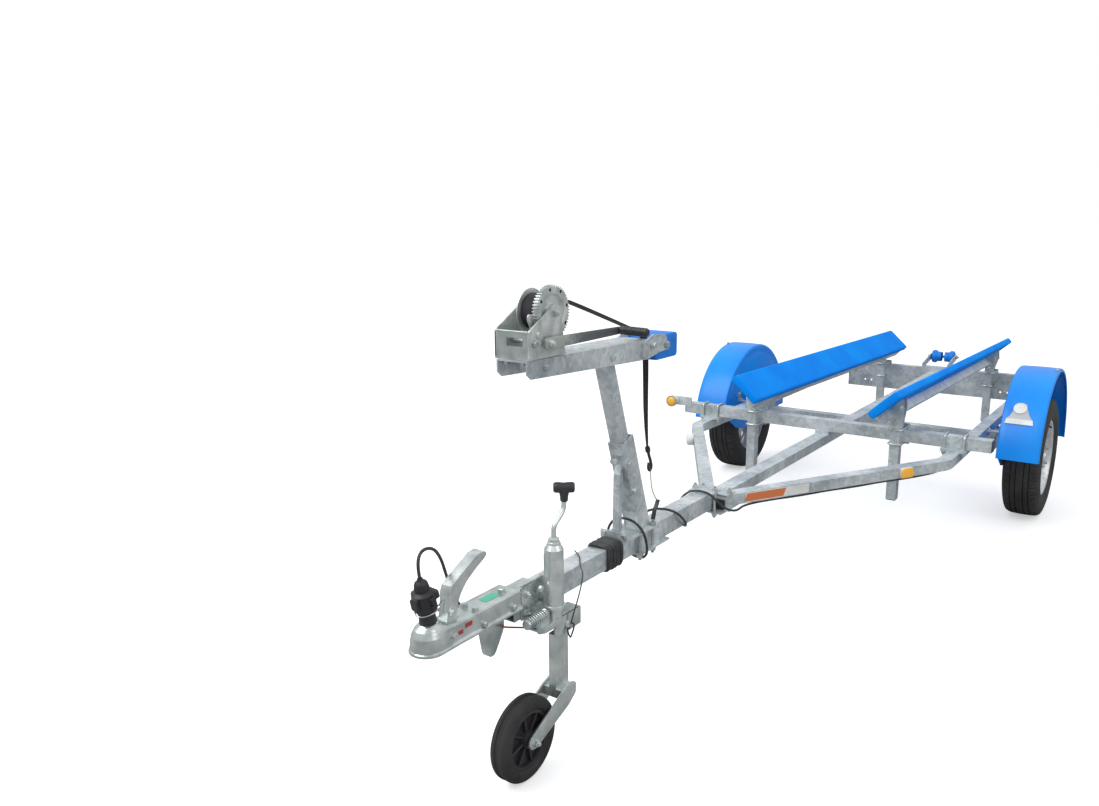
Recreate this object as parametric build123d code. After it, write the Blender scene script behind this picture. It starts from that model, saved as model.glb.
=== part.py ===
from build123d import *
import math
import os

os.makedirs("parts", exist_ok=True)

# A small galvanised boat trailer, standing level on its road wheels and its jockey wheel.
# Millimetres.  +Z is up, -Y is towards the coupling and +X is the side of the jockey wheel.
# Every y is measured from the axle, which stands axle_y behind the middle of the trailer.

axle_y = 925.0
nose_y = -3300.0
bunk_front = -912.0
bunk_rear = 1450.0

# Fits between pieces that move on each other.
shaft_gap = 0.05
tube_gap = 0.3
side_gap = 5.5

# Drawbar, spine and the two bent rails.
bar_half = 30.0
bar_low = 401.0
bar_top = 461.0
bar_front = -2980.0
bar_rear = -1850.0
rail_low = 395.0
rail_top = 435.0
rail_w = 50.0
rail_x = 555.0
rail_rear = 1208.0
leg_angle = 29.8
leg_apex_y = -1855.0
leg_front = -1866.0
bend_r = 120.0
wall = 3.0
plate = 6.0

# Cross members and what stands on them.
front_beam_y = -720.0
front_beam_low = 448.0
front_beam_top = 498.0
beam_half = 695.0
rear_beam_front = 1183.0
rear_beam_rear = rear_beam_front + 50
rear_beam_low = 400.0
rear_beam_top = 460.0
upright = 40.0

# Road wheels, axle and mudguards.
wheel_x = 737.0
wheel_r = 280.0
tyre_half = 77.5
rim_r = wheel_r - 108
spindle_r = 15.0
pivot_y = -60.0
pivot_z = 345.0
guard_r = wheel_r + 121
guard_z = wheel_r + 20
guard_in = wheel_x - 86
guard_out = wheel_x + 87
guard_t = 2.0

# Bunks: the padded face leans from its low inner edge to its high outer edge.
face_in = (240.0, 590.0)
face_out = (352.0, 695.0)
bunk_t = 35.0
bunk_fall = 47.0
bunk_rail_w = 50.0
bunk_rail_t = 40.0

# Jockey wheel with a leg that slides and folds.
jack_x = 75.0
jack_y = -2871.0
jack_low = 419.0
jack_top = 576.0
outer_r = 25.0
outer_bore = 22.0
fold_y = -2844.0
fold_z = 365.0
fold_pin_r = 6.0
leg_half = 11.0
jockey_y = -3007.0
jockey_r = 110.0
jockey_half = 25.0
jockey_axle_r = 8.0

# Winch post, table and winch.
post_lean = 18.8
post_foot_y = -2345.0
table_half = 48.0
winch_y = -2822.0
winch_z = 1173.0

# Keel roller.
roller_y = 1391.0
roller_z = 505.0
roller_half = 65.0
roller_pin_r = 8.0

# Electric lead.
lead_r = 4.0


def block(x0, x1, y0, y1, z0, z1):
    """A box between two corners."""
    middle = ((x0 + x1) / 2, (y0 + y1) / 2, (z0 + z1) / 2)
    return Pos(*middle) * Box(x1 - x0, y1 - y0, z1 - z0)


def plate_yz(x0, x1, points):
    """A flat piece drawn in y and z, from x0 to x1."""
    face = Plane.YZ * Polygon(*points, align=None)
    return Pos(x0, 0, 0) * extrude(face, x1 - x0, dir=(1, 0, 0))


def plate_xz(y0, y1, points):
    """A flat piece drawn in x and z, from y0 to y1."""
    face = Plane.XZ * Polygon(*points, align=None)
    return Pos(0, y0, 0) * extrude(face, y1 - y0, dir=(0, 1, 0))


def rod(start, end, radius):
    """A round bar between two points."""
    a = Vector(*start)
    b = Vector(*end)
    return extrude(Plane(origin=a, z_dir=b - a) * Circle(radius), (b - a).length)


def spin_x(centre, points):
    """A turned piece on an axis along x, drawn as distance along x and radius."""
    return Pos(*centre) * revolve(Polygon(*points, align=None), axis=Axis.X)


def spin_z(centre, points):
    """A turned piece on an upright axis, drawn as radius and height."""
    face = Plane.XZ * Polygon(*points, align=None)
    return Pos(*centre) * revolve(face, axis=Axis.Z)


def link_yz(x0, x1, first, first_r, second, second_r):
    """A flat link drawn in y and z, round at both ends."""
    ends = (Pos(*first) * Circle(first_r)).edges() + (Pos(*second) * Circle(second_r)).edges()
    face = Plane.YZ * make_hull(ends)
    return Pos(x0, 0, 0) * extrude(face, x1 - x0, dir=(1, 0, 0))


def both(piece):
    """The piece and its twin on the other side of the trailer."""
    return [piece, mirror(piece, about=Plane.YZ)]


def save(name, pieces):
    """Moves a node from the axle's frame to the trailer's own frame and writes it."""
    if not isinstance(pieces, list):
        pieces = [pieces]
    solids = [solid for piece in pieces for solid in piece.solids()]
    node = Compound(children=[Pos(0, axle_y, 0) * solid for solid in solids])
    node.label = name
    export_step(node, "parts/" + name + ".step")


# Drawbar: a square tube, open at the rear and capped by the coupling in front.
drawbar = block(-bar_half, bar_half, bar_front, bar_rear, bar_low, bar_top)
drawbar -= block(-bar_half + wall, bar_half - wall, bar_front - 1, bar_rear + 1, bar_low + wall, bar_top - wall)
save("drawbar", drawbar)

# Spine: a flatter tube that carries on from the drawbar to the rear beam.
spine = block(-bar_half, bar_half, bar_rear + 2, rear_beam_front, rail_low, rail_top)
spine -= block(-bar_half + wall, bar_half - wall, bar_rear, rear_beam_front + 1, rail_low + wall, rail_top - wall)
save("spine", spine)


def rail_plan(width, extra):
    """One bent rail seen from above: a slanting leg, a round bend and a straight part."""
    turn = math.radians(leg_angle)
    bend_y = leg_apex_y + rail_x / math.tan(turn)
    tangent = bend_r * math.tan(turn / 2)
    slant = bend_y - tangent * math.cos(turn)
    x_start = rail_x - tangent * math.sin(turn)
    length = (slant - leg_front) / math.cos(turn) + 80
    leg = Pos(x_start, slant) * Rot(0, 0, -leg_angle) * Pos(0, -length / 2) * Rectangle(width, length)
    y_straight = bend_y + tangent
    far = rail_rear + extra
    straight = Pos(rail_x, (y_straight + far) / 2) * Rectangle(width, far - y_straight)
    centre = (rail_x - bend_r, y_straight)
    ring = Pos(*centre) * (Circle(bend_r + width / 2) - Circle(bend_r - width / 2))
    reach = 2 * bend_r
    wedge = Polygon(
        (0, 0),
        (reach, 0),
        (reach, -reach * math.tan(turn)),
        align=None,
    )
    bend = ring & (Pos(*centre) * wedge)
    return leg + bend + straight


# Side rails: each one leaves the drawbar at a slant, bends and runs back beside the wheel.
rail = Pos(0, 0, rail_low) * extrude(rail_plan(rail_w, 0), rail_top - rail_low, dir=(0, 0, 1))
hollow_h = rail_top - rail_low - 2 * wall
rail -= Pos(0, 0, rail_low + wall) * extrude(rail_plan(rail_w - 2 * wall, 1), hollow_h, dir=(0, 0, 1))
rail -= block(-400, bar_half + 1, leg_front - 400, 0, rail_low - 1, rail_top + 1)
rail -= block(-400, 400, leg_front - 400, leg_front, rail_low - 1, rail_top + 1)
save("side_rails", both(rail))

# Plates that clamp the drawbar, spine, rails and front beam together.
frame_plates = [
    block(-70, 70, leg_front - 34, leg_front + 106, rail_low - plate, rail_low),
    block(-28, 28, leg_front - 34, bar_rear, rail_low, bar_low),
    block(-60, 60, leg_front + 26, leg_front + 100, rail_top, rail_top + plate),
    block(-45, 45, leg_front - 60, leg_front + 10, bar_top, bar_top + plate),
    block(-bar_half, bar_half, front_beam_y - 35, front_beam_y + 35, rail_top, front_beam_low),
]
frame_plates += both(block(505, 605, front_beam_y - 45, front_beam_y + 45, rail_top, front_beam_low))
save("frame_plates", frame_plates)

# Front beam: a square tube across the rails, with a lamp bracket at its right end.
front_beam = block(-beam_half, beam_half, front_beam_y - 25, front_beam_y + 25, front_beam_low, front_beam_top)
front_beam -= block(
    -beam_half - 1,
    beam_half + 1,
    front_beam_y - 25 + wall,
    front_beam_y + 25 - wall,
    front_beam_low + wall,
    front_beam_top - wall,
)
front_beam += block(-beam_half - 75, -beam_half + 35, front_beam_y - 30, front_beam_y - 25, 482, 526)
save("front_beam", front_beam)

# Rear beam: a tube between the rails, just behind the rear uprights.
inner_x = rail_x - rail_w / 2
rear_beam = block(-inner_x, inner_x, rear_beam_front, rear_beam_rear, rear_beam_low, rear_beam_top)
rear_beam -= block(
    -inner_x - 1,
    inner_x + 1,
    rear_beam_front + wall,
    rear_beam_rear - wall,
    rear_beam_low + wall,
    rear_beam_top - wall,
)
save("rear_beam", rear_beam)

# Rear channel under the rear beam, with its open side to the rear.
rear_channel = block(-528, 528, rear_beam_front + 3, rear_beam_front + 43, 305, rear_beam_low)
rear_channel -= block(-529, 529, rear_beam_front + 7, rear_beam_front + 44, 309, rear_beam_low - 4)
rear_channel -= [
    Pos(x, rear_beam_front, 350) * Rot(90, 0, 0) * Cylinder(5.5, 40) for x in (-420, -380, 380, 420)
]
save("rear_channel", rear_channel)

# Axle: a square tube under the rails, with saddles and a short trailing arm at each end.
axle_tube = block(-604, 604, pivot_y - 30, pivot_y + 30, pivot_z - 30, pivot_z + 30)
axle_tube -= block(-596, 596, pivot_y - 26, pivot_y + 26, pivot_z - 26, pivot_z + 26)
save("axle_tube", axle_tube)
saddles = both(block(532, 600, pivot_y - 50, pivot_y + 50, pivot_z + 30, rail_low))
saddles.append(block(-bar_half, bar_half, pivot_y - 30, pivot_y + 30, pivot_z + 30, rail_low))
save("axle_saddles", saddles)
arm = link_yz(604, 634, (pivot_y, pivot_z), 38, (0, wheel_r), 30)
arm += rod((634, 0, wheel_r), (wheel_x + 43, 0, wheel_r), spindle_r)
save("swing_arms", both(arm))

# Road wheels.  The tyre is a hollow carcass and the rim is dished round its hub.
tyre_section = [
    (-62, wheel_r),
    (62, wheel_r),
    (tyre_half, wheel_r - 22),
    (60, rim_r),
    (48, rim_r),
    (62, wheel_r - 30),
    (-62, wheel_r - 30),
    (-48, rim_r),
    (-60, rim_r),
    (-tyre_half, wheel_r - 22),
]
hub_bore = spindle_r + shaft_gap
rim_section = [
    (-60, rim_r),
    (60, rim_r),
    (60, rim_r - 8),
    (22, rim_r - 14),
    (22, rim_r - 52),
    (34, rim_r - 80),
    (34, 36),
    (54, 32),
    (58, 0),
    (46, 0),
    (46, hub_bore),
    (-38, hub_bore),
    (-38, 32),
    (28, 36),
    (28, rim_r - 82),
    (16, rim_r - 56),
    (16, rim_r - 14),
    (-60, rim_r - 8),
]
for side, sign in (("left", 1), ("right", -1)):
    centre = (sign * wheel_x, 0, wheel_r)
    save("tyre_" + side, spin_x(centre, tyre_section))
    save("rim_" + side, spin_x(centre, [(sign * a, r) for a, r in rim_section]))

# Mudguards: a half-round band over each wheel and a flat inner side, notched for the axle.
outline = [
    (-420, 343),
    (-365, 343),
    (-250, 274),
    (-54, 230),
    (54, 230),
    (250, 274),
    (340, guard_z),
    (420, guard_z),
    (420, 760),
    (-420, 760),
]
disc = Pos(0, guard_z) * Circle(guard_r)
side_face = disc & Polygon(*outline, align=None)
side_face -= Pos(0, 260) * Rectangle(64, 110)
band_face = disc - Pos(0, guard_z) * Circle(guard_r - guard_t)
band_face &= Polygon((-420, 343), (0, 330), (0, guard_z), (420, guard_z), (420, 760), (-420, 760), align=None)
guard = Pos(guard_in, 0, 0) * extrude(Plane.YZ * side_face, guard_t, dir=(1, 0, 0))
guard += Pos(guard_in, 0, 0) * extrude(Plane.YZ * band_face, guard_out - guard_in, dir=(1, 0, 0))
save("mudguards", both(guard))
stays = []
for y in (-225, 225):
    stays.append(block(rail_x + 25, guard_in, y - 15, y + 15, 421, 427))
    stays.append(block(guard_in - 5, guard_in, y - 15, y + 15, 427, 470))
    stays.append(block(rail_x + 25, rail_x + 30, y - 15, y + 15, 397, 421))
save("mudguard_stays", [twin for stay in stays for twin in both(stay)])

# Bunks: padded boards on steel rails.  The section is drawn at the front end and is drawn
# back and a little down to the rear end.
run = Vector(face_out[0] - face_in[0], 0, face_out[1] - face_in[1]).normalized()
out = Vector(run.Z, 0, -run.X)
corner = Vector(face_in[0], 0, face_in[1])
face_w = math.dist(face_in, face_out)
back_way = Vector(0, bunk_rear - bunk_front, -bunk_fall)


def bunk_bar(low, high, depth0, depth1, inset, radius):
    """A bar along a bunk, between two distances up the slope and two depths behind the face."""
    corners = [corner + run * a + out * b for a, b in ((low, depth0), (high, depth0), (high, depth1), (low, depth1))]
    face = Plane.XZ * Polygon(*[(c.X, c.Z) for c in corners], align=None)
    if radius:
        face = fillet(face.vertices(), radius)
    way = back_way.normalized()
    length = back_way.length - 2 * inset
    start = Vector(0, bunk_front, 0) + way * inset
    return Pos(start.X, start.Y, start.Z) * extrude(face, length * abs(way.Y), dir=way)


bunk = bunk_bar(0, face_w, 0, bunk_t, 0, 8)
save("bunks", both(bunk))
bunk_rail = bunk_bar(2, 2 + bunk_rail_w, bunk_t, bunk_t + bunk_rail_t, 68, 0)
rail_hollow = bunk_bar(2 + wall, 2 + bunk_rail_w - wall, bunk_t + wall, bunk_t + bunk_rail_t - wall, 0, 0)
hollow_rail = bunk_rail - rail_hollow
save("bunk_rails", both(hollow_rail))

# Uprights that carry the bunks, and the ears that join their tops to the bunk rails.
# Columns: x, y of the middle, foot z, top z, z of the ears' lower edge, drop of the bunk there.
posts = [
    (326.0, front_beam_y - 45.0, 195.0, 566.0, 506.0, 3.0),
    (313.0, rear_beam_front - 20.0, 171.0, 528.0, 468.0, 41.5),
]
uprights = []
ears = []
for x, y, foot, top, ear_low, drop in posts:
    half = upright / 2
    tube = block(x - half, x + half, y - half, y + half, foot, top)
    tube -= block(x - half + wall, x + half - wall, y - half + wall, y + half - wall, foot - 1, top + 1)
    uprights += both(tube - bunk_rail)
    ear_face = [
        (x - 20, ear_low),
        (x + 20, ear_low),
        (358, 600 - drop),
        (354, 644 - drop),
        (330, 640 - drop),
        (302, 570 - drop),
    ]
    for y0 in (y - half - 5, y + half):
        ear = plate_xz(y0, y0 + 5, ear_face) - bunk_rail - bunk
        ears += both(ear.solids().sort_by(Axis.Z)[0])
save("uprights", uprights)
save("bunk_ears", ears)

# Keel roller on a pin between two cheeks behind the rear beam.
cheek = [
    (rear_beam_front + 2, rear_beam_top),
    (rear_beam_front + 62, rear_beam_top),
    (roller_y + 12, roller_z - 16),
    (roller_y + 18, roller_z),
    (roller_y + 12, roller_z + 16),
    (roller_y - 16, roller_z + 18),
    (rear_beam_front + 2, rear_beam_top + 26),
]
cheek_x = roller_half + side_gap
roller_bracket = plate_yz(cheek_x, cheek_x + 5, cheek) + plate_yz(-cheek_x - 5, -cheek_x, cheek)
roller_bracket += block(-cheek_x, cheek_x, rear_beam_front + 2, rear_beam_front + 62, rear_beam_top, rear_beam_top + 5)
roller_bracket += rod((-cheek_x - 14, roller_y, roller_z), (cheek_x + 14, roller_y, roller_z), roller_pin_r)
save("roller_bracket", roller_bracket)
bore = roller_pin_r + shaft_gap
roller_half_section = [(roller_half, bore), (roller_half, 34), (58, 40), (42, 40), (16, 27.5)]
roller_section = roller_half_section + [(-a, r) for a, r in reversed(roller_half_section)]
save("keel_roller", spin_x((0, roller_y, roller_z), roller_section))

# Coupling: a pressed channel over the drawbar's end with a domed head round the ball socket.
ball_y = nose_y + 44
socket_r = 25.3
socket_z = 455.0
body_low = 434.0
body_top = 481.0
channel = block(-36, 36, ball_y + 20, bar_front + 20, body_low, body_top)
channel -= block(-bar_half - 0.5, bar_half + 0.5, ball_y + 60, bar_front - 10, body_low - 1, body_top - 6)
channel -= block(-bar_half - 0.5, bar_half + 0.5, bar_front - 11, bar_front + 21, body_low - 1, bar_top + 0.5)
flange = block(-43, 43, ball_y, bar_front + 20, body_low, body_low + 5)
flange -= block(-bar_half - 0.5, bar_half + 0.5, ball_y + 60, bar_front + 21, body_low - 1, body_low + 6)
head = spin_z(
    (0, ball_y, body_low),
    [(0, 0), (44, 0), (44, 6), (41, 8), (40, 22), (38, 40), (31, 55), (18, 66), (0, 70)],
)
coupling = channel + flange + head
coupling -= Pos(0, 0, body_low - 1) * Pos(0, ball_y, 11) * Cylinder(socket_r, socket_z - body_low + 1)
coupling -= Pos(0, ball_y, socket_z) * Sphere(socket_r)
save("coupling_body", coupling)

# Coupling lever: a bent handle standing on the coupling, and the guard foot beneath it.
lever_outline = [
    (52, body_top),
    (59, 527),
    (61, 556),
    (66, 567),
    (169, 619),
    (198, 614),
    (197, 599),
    (178, 587),
    (146, 566),
    (124, 540),
    (111, 516),
    (97, 504),
    (84, 498),
    (84, body_top),
]
lever = plate_yz(-14, 14, [(ball_y + y, z) for y, z in lever_outline])
save("coupling_lever", lever)
foot = plate_yz(-11, 11, [(-3088, body_top - 6), (-2998, body_top - 6), (-2998, 386), (-3036, 332), (-3056, 332)])
save("guard_foot", foot)

# Plug of the electric lead, parked nose down on the coupling.
plug_foot = (0, ball_y + 5, 500.0)
plug_lean = 10.5
plug_way = Vector(0, -math.sin(math.radians(plug_lean)), math.cos(math.radians(plug_lean)))
plug_h = 118.0
plug_section = [
    (0, -40),
    (21, -40),
    (21, 0),
    (19, 22),
    (24, 36),
    (27, 42),
    (27, 79),
    (18, 85),
    (16, 104),
    (6, 114),
    (6, plug_h),
    (0, plug_h),
]
plug_shape = spin_z((0, 0, 0), plug_section)
plug = Pos(*plug_foot) * Rot(plug_lean, 0, 0) * plug_shape
plug += Pos(*plug_foot) * Rot(plug_lean, 0, 0) * block(-8, 8, -35, 35, 58, 75)
plug -= coupling
plug = plug.solids().sort_by(Axis.Z)[-1]
save("plug", plug)

# Lead coil: the spare turns of the lead, wound tightly round the drawbar.
coil_front = -2562.0
coil_rear = -2475.0
grooves = 8
pitch = (coil_rear - coil_front) / grooves
coil = block(-41, 41, coil_front, coil_rear, bar_low - 11, bar_top + 11)
coil = fillet(coil.edges().filter_by(Axis.Y), 12)
coil -= block(-bar_half - 0.3, bar_half + 0.3, coil_front - 1, coil_rear + 1, bar_low - 0.3, bar_top + 0.3)
save("lead_coil", coil)


def lead_run(points):
    """A round cord along straight runs joined by arcs, each arc as wide as its runs allow."""
    corners = [Vector(*p) for p in points]
    radii = []
    for a, b, c in zip(corners, corners[1:], corners[2:]):
        half_turn = math.radians((b - a).get_angle(c - b)) / 2
        radii.append(0.45 * min((b - a).length, (c - b).length) / math.tan(half_turn))
    path = FilletPolyline(*points, radius=radii)
    section = Plane(origin=path @ 0, z_dir=path % 0) * Circle(lead_r)
    return sweep(section, path=path)


# Lead: over and down beside the coupling to the coil, round the drawbar and along the left rail.
start = Vector(*plug_foot) + plug_way * (plug_h + 0.3)
first = start + plug_way * 36
lead_front = [
    tuple(start),
    tuple(first),
    (-8, -3257, 676),
    (-20, -3208, 664),
    (-36, -3168, 624),
    (-47, -3142, 574),
    (-50, -3122, 520),
    (-50, -3090, 462),
    (-48, -3040, 418),
    (-46, -2980, 396),
    (-46, -2900, 392),
    (-46, -2810, 393),
    (-44, -2720, 398),
    (-38, -2640, 420),
    (-36, -2590, 431),
    (-36, coil_front - 0.3, 431),
]
save("lead_front", lead_run(lead_front))
lead_loops = [
    (-36, coil_rear + 0.3, 431),
    (-36, -2447, 431),
    (-57, -2424, 456),
    (-48, -2415, 492),
    (-16, -2411, 510),
    (26, -2408, 508),
    (57, -2402, 482),
    (66, -2392, 440),
    (62, -2382, 400),
    (37, -2368, 376),
    (-8, -2352, 370),
    (-48, -2336, 382),
    (-62, -2300, 416),
    (-56, -2264, 454),
    (-32, -2226, 478),
    (4, -2196, 484),
    (38, -2162, 468),
    (48, -2122, 430),
    (34, -2080, 394),
    (-6, -2044, 382),
    (-42, -2010, 400),
    (-54, -1976, 440),
    (-36, -1944, 468),
    (4, -1936, 476),
    (46, -1934, 469),
    (74, -1926, 438),
    (86, -1886, 408),
    (94, -1826, 388),
]
# Under the slanting leg and then along the inner face of the rail to the rear beam.
slope = math.tan(math.radians(leg_angle))
lead_leg = [(16 + slope * (y - leg_apex_y), y, 386 + 3 * (i % 2)) for i, y in enumerate(range(-1740, -960, 110))]
lead_bend = [(541, -888, 386), (525, -800, 387), (524, -710, 400)]
lead_rail = [(525, y, 412 + 3 * (i % 2)) for i, y in enumerate(range(-610, 1160, 118))]
lead_end = [(525, rear_beam_front - 0.3, 413.5)]
save("lead", lead_run(lead_loops + lead_leg + lead_bend + lead_rail + lead_end))

# Side lamps on the slanting legs, and the round lamp at the right end of the front beam.
turn = math.radians(leg_angle)
lamp_y = -1100.0
lamp_x = (lamp_y - leg_apex_y) * math.tan(turn) + (rail_w / 2 + 6) / math.cos(turn)
side_lamp = Pos(lamp_x, lamp_y, 415) * Rot(0, 0, -leg_angle) * Box(12, 60, 42)
lamps = both(side_lamp)
lamps.append(rod((-beam_half - 58, front_beam_y - 70, 504), (-beam_half - 58, front_beam_y - 30, 504), 27))
save("lamps", lamps)

# Jockey wheel: a clamp on the drawbar holds the outer tube beside it.
jockey_mount = block(bar_half, bar_half + 6, -2956, -2862, 398, 493)
jockey_mount += block(-bar_half - 6, -bar_half, -2956, -2862, 398, bar_top + plate)
jockey_mount += block(-bar_half, bar_half, -2956, -2862, bar_top, bar_top + plate)
jockey_mount += block(bar_half + 6, jack_x - 20, jack_y - 10, jack_y + 10, 425, 500)
jockey_mount -= Pos(jack_x, jack_y, 490) * Cylinder(outer_r, 200)
save("jockey_mount", jockey_mount)

# Outer tube with a collar and a closed top, and the crank above it.
jack_tube_section = [
    (outer_bore, jack_low),
    (outer_r + 4, jack_low),
    (outer_r + 4, jack_low + 6),
    (outer_r, jack_low + 6),
    (outer_r, jack_top),
    (14, 594),
    (14, 604),
    (0, 604),
    (0, jack_top - 4),
    (outer_bore, jack_top - 4),
]
save("jockey_tube", spin_z((jack_x, jack_y, 0), jack_tube_section))
crank_points = [
    (jack_x, jack_y, 604),
    (jack_x, jack_y, 634),
    (jack_x, jack_y + 44, 668),
    (jack_x, jack_y + 46, 712),
]
crank_path = FilletPolyline(*crank_points, radius=13)
jockey_crank = sweep(Plane(origin=crank_path @ 0, z_dir=crank_path % 0) * Circle(6.5), path=crank_path)
grip_low = (jack_x, jack_y + 46, 712)
jockey_grip = rod(grip_low, (jack_x, jack_y + 46, 720), 14)
jockey_grip += rod((jack_x - 22, jack_y + 29, 727), (jack_x + 22, jack_y + 63, 727), 14)
jockey_grip -= jockey_crank
save("jockey_crank", jockey_crank)
save("jockey_grip", jockey_grip)

# Sliding piece: the inner tube with a forked head that carries the folding leg.
inner_top = 546.0
head_low = 352.0
head_top = 392.0
cheek_in = leg_half + side_gap
slide = rod((jack_x, jack_y, head_top), (jack_x, jack_y, inner_top), outer_bore - tube_gap)
slide += block(jack_x - cheek_in - 5, jack_x + cheek_in + 5, jack_y - 22, -2783, head_top - 4, head_top)
for side in (-1, 1):
    x0 = jack_x + side * (cheek_in + 2.5)
    slide += block(x0 - 2.5, x0 + 2.5, jack_y - 22, -2783, head_low - 8, head_top)
pin_reach = cheek_in + 9
slide += rod((jack_x - pin_reach, fold_y, fold_z), (jack_x + pin_reach, fold_y, fold_z), fold_pin_r)
slide += block(jack_x - cheek_in - 5, jack_x + cheek_in + 5, -2965, jack_y - 21, head_top - 6, head_top)
slide += block(jack_x - 12, jack_x + 12, -2961, -2909, head_top, 418)
slide += rod((jack_x, -2988, 410), (jack_x, -2909, 410), 11)
save("jockey_slide", slide)

# Leg: a flat box tube on the fold pin, with a bridge and two arms down to the jockey wheel.
leg = block(jack_x - leg_half, jack_x + leg_half, -2883, -2827, 170, 344)
leg += block(jack_x - leg_half, jack_x + leg_half, fold_y - 17, fold_y + 17, 344, fold_z)
leg += rod((jack_x - leg_half, fold_y, fold_z), (jack_x + leg_half, fold_y, fold_z), 17)
leg -= rod((jack_x - 40, fold_y, fold_z), (jack_x + 40, fold_y, fold_z), fold_pin_r + shaft_gap)
arm_in = jockey_half + side_gap
bridge_half = arm_in + 5
leg += block(jack_x - bridge_half, jack_x + bridge_half, -2883, -2827, 165, 190)
arm_face = [
    (-2883, 190),
    (-2827, 190),
    (-2829, 165),
    (jockey_y + 14, jockey_r - 17),
    (jockey_y - 14, jockey_r - 14),
    (jockey_y - 20, jockey_r + 2),
    (jockey_y - 8, jockey_r + 18),
]
for side in (-1, 1):
    x0 = jack_x + side * (arm_in + 2.5)
    leg += plate_yz(x0 - 2.5, x0 + 2.5, arm_face)
reach = bridge_half + 8
leg += rod((jack_x - reach, jockey_y, jockey_r), (jack_x + reach, jockey_y, jockey_r), jockey_axle_r)
save("jockey_leg", leg)

# Jockey wheel: a solid tyre on a plastic hub.
jockey_centre = (jack_x, jockey_y, jockey_r)
jockey_tyre = [(-15, jockey_r), (15, jockey_r), (25, 98), (25, 84), (19, 76), (-19, 76), (-25, 84), (-25, 98)]
save("jockey_tyre", spin_x(jockey_centre, jockey_tyre))
bore = jockey_axle_r + shaft_gap
jockey_hub = [(-19, 76), (19, 76), (19, 68), (5, 66), (5, 20), (25, 18), (25, bore), (-25, bore), (-25, 18), (-5, 20), (-5, 66), (-19, 68)]
save("jockey_hub", spin_x(jockey_centre, jockey_hub))

# Winch post: a square tube with a thinner one inside it, leaning forward.
post_frame = Pos(0, post_foot_y, bar_top + plate) * Rot(post_lean, 0, 0)
foot_plate = block(-47, 47, -2474, -2295, bar_top, bar_top + plate)
foot_plate += block(-47, 47, -2474, -2468, bar_top + plate, 486)
outer_post = post_frame * (block(-25, 25, -25, 38, -40, 312) - block(-21, 21, -21, 34, -41, 313))
outer_post -= block(-60, 60, -2500, -2200, 300, bar_top + plate)
save("post_outer", outer_post)
table_under = [(-2936, 1060), (-2364, 1050), (-2364, 1200), (-2936, 1200)]
inner_post = post_frame * (block(-20, 20, -20, 20, 150, 720) - block(-17, 17, -17, 17, 149, 721))
inner_post -= plate_yz(-60, 60, table_under)
save("post_inner", inner_post)
strut = plate_yz(-11, 11, [(-2447, 690), (-2441, 672), (-2448, bar_top + plate), (-2464, bar_top + plate), (-2459, 660)])
strut -= outer_post
lower_plate = block(-47, 47, -2400, -2220, bar_low - plate, bar_low)
save("post_plates", [foot_plate, strut, lower_plate])

# Winch table: a channel, open below and in front, on top of the post.
table_front = -2935.0
table_rear = -2365.0
table_side = [
    (table_front, 1064),
    (table_rear, 1054),
    (table_rear - 3, 995),
    (table_front + 16, 1018),
    (table_front, 1032),
]
table_hollow = [(table_front - 1, 1060), (table_rear + 1, 1050), (table_rear + 1, 980), (table_front - 1, 980)]
table = plate_yz(-table_half, table_half, table_side) - plate_yz(-table_half + 4, table_half - 4, table_hollow)
save("winch_table", table)

# Bow stop: a soft block held between two plates at the rear of the table.
bow_plate = [(-2410, 1008), (-2400, 1046), (-2345, 1066), (-2272, 1058), (-2256, 1012), (-2306, 1010), (-2372, 998)]
save("bow_plates", both(plate_yz(table_half, table_half + 5, bow_plate)))
stop_face = Plane.YZ * Polygon((-2322, 1057), (-2192, 1057), (-2192, 985), (-2322, 985), align=None)
bow_stop = Pos(-table_half, 0, 0) * extrude(fillet(stop_face.vertices(), 11), 2 * table_half, dir=(1, 0, 0))
save("bow_stop", bow_stop)

# Winch: a folded frame, the drum with its gear, and the crank on the pinion shaft.
cheek_near = 46.0
cheek_far = -58.0
winch_front = -2928.0
winch_rear = -2778.0
winch_floor = 1064.5
cheek_face = [
    (winch_front, winch_floor),
    (winch_rear, winch_floor),
    (winch_rear - 12, 1110),
    (winch_y + 25, 1184),
    (winch_y - 12, 1184),
    (winch_front, 1134),
]
winch_frame = plate_yz(cheek_near, cheek_near + 4, cheek_face)
winch_frame += plate_yz(cheek_far, cheek_far + 4, cheek_face)
winch_frame += block(cheek_far, cheek_near + 4, winch_front, winch_rear, winch_floor, winch_floor + 4)
front_wall = block(cheek_far, cheek_near + 4, winch_front, winch_front + 4, winch_floor, 1134)
front_wall -= block(-20, 30, winch_front - 1, winch_front + 5, 1098, 1119)
winch_frame += front_wall
save("winch_frame", winch_frame)
flange_x = -28.0
gear_in = cheek_near - 11
drum = [
    (cheek_far + 4, 0),
    (cheek_far + 4, 9),
    (flange_x, 9),
    (flange_x, 57),
    (flange_x + 4, 57),
    (flange_x + 4, 22),
    (gear_in, 22),
    (gear_in, 70),
    (gear_in + 9, 70),
    (gear_in + 9, 9),
    (cheek_near, 9),
    (cheek_near, 0),
]
winch_centre = (0, winch_y, winch_z)
save("winch_drum", spin_x(winch_centre, drum))
strap_section = [(flange_x + 5, 22.3), (flange_x + 5, 47), (gear_in - 1, 47), (gear_in - 1, 22.3)]
save("strap_roll", spin_x(winch_centre, strap_section))
pinion_y = -2861.0
pinion_z = 1101.0
winch_crank = rod((cheek_near + 4.3, pinion_y, pinion_z), (70, pinion_y, pinion_z), 10)
winch_crank += plate_yz(58, 64, [(-2878, 1088), (-2878, 1114), (-2840, 1116), (-2530, 1110), (-2530, 1090), (-2840, 1088)])
save("winch_crank", winch_crank)
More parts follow.
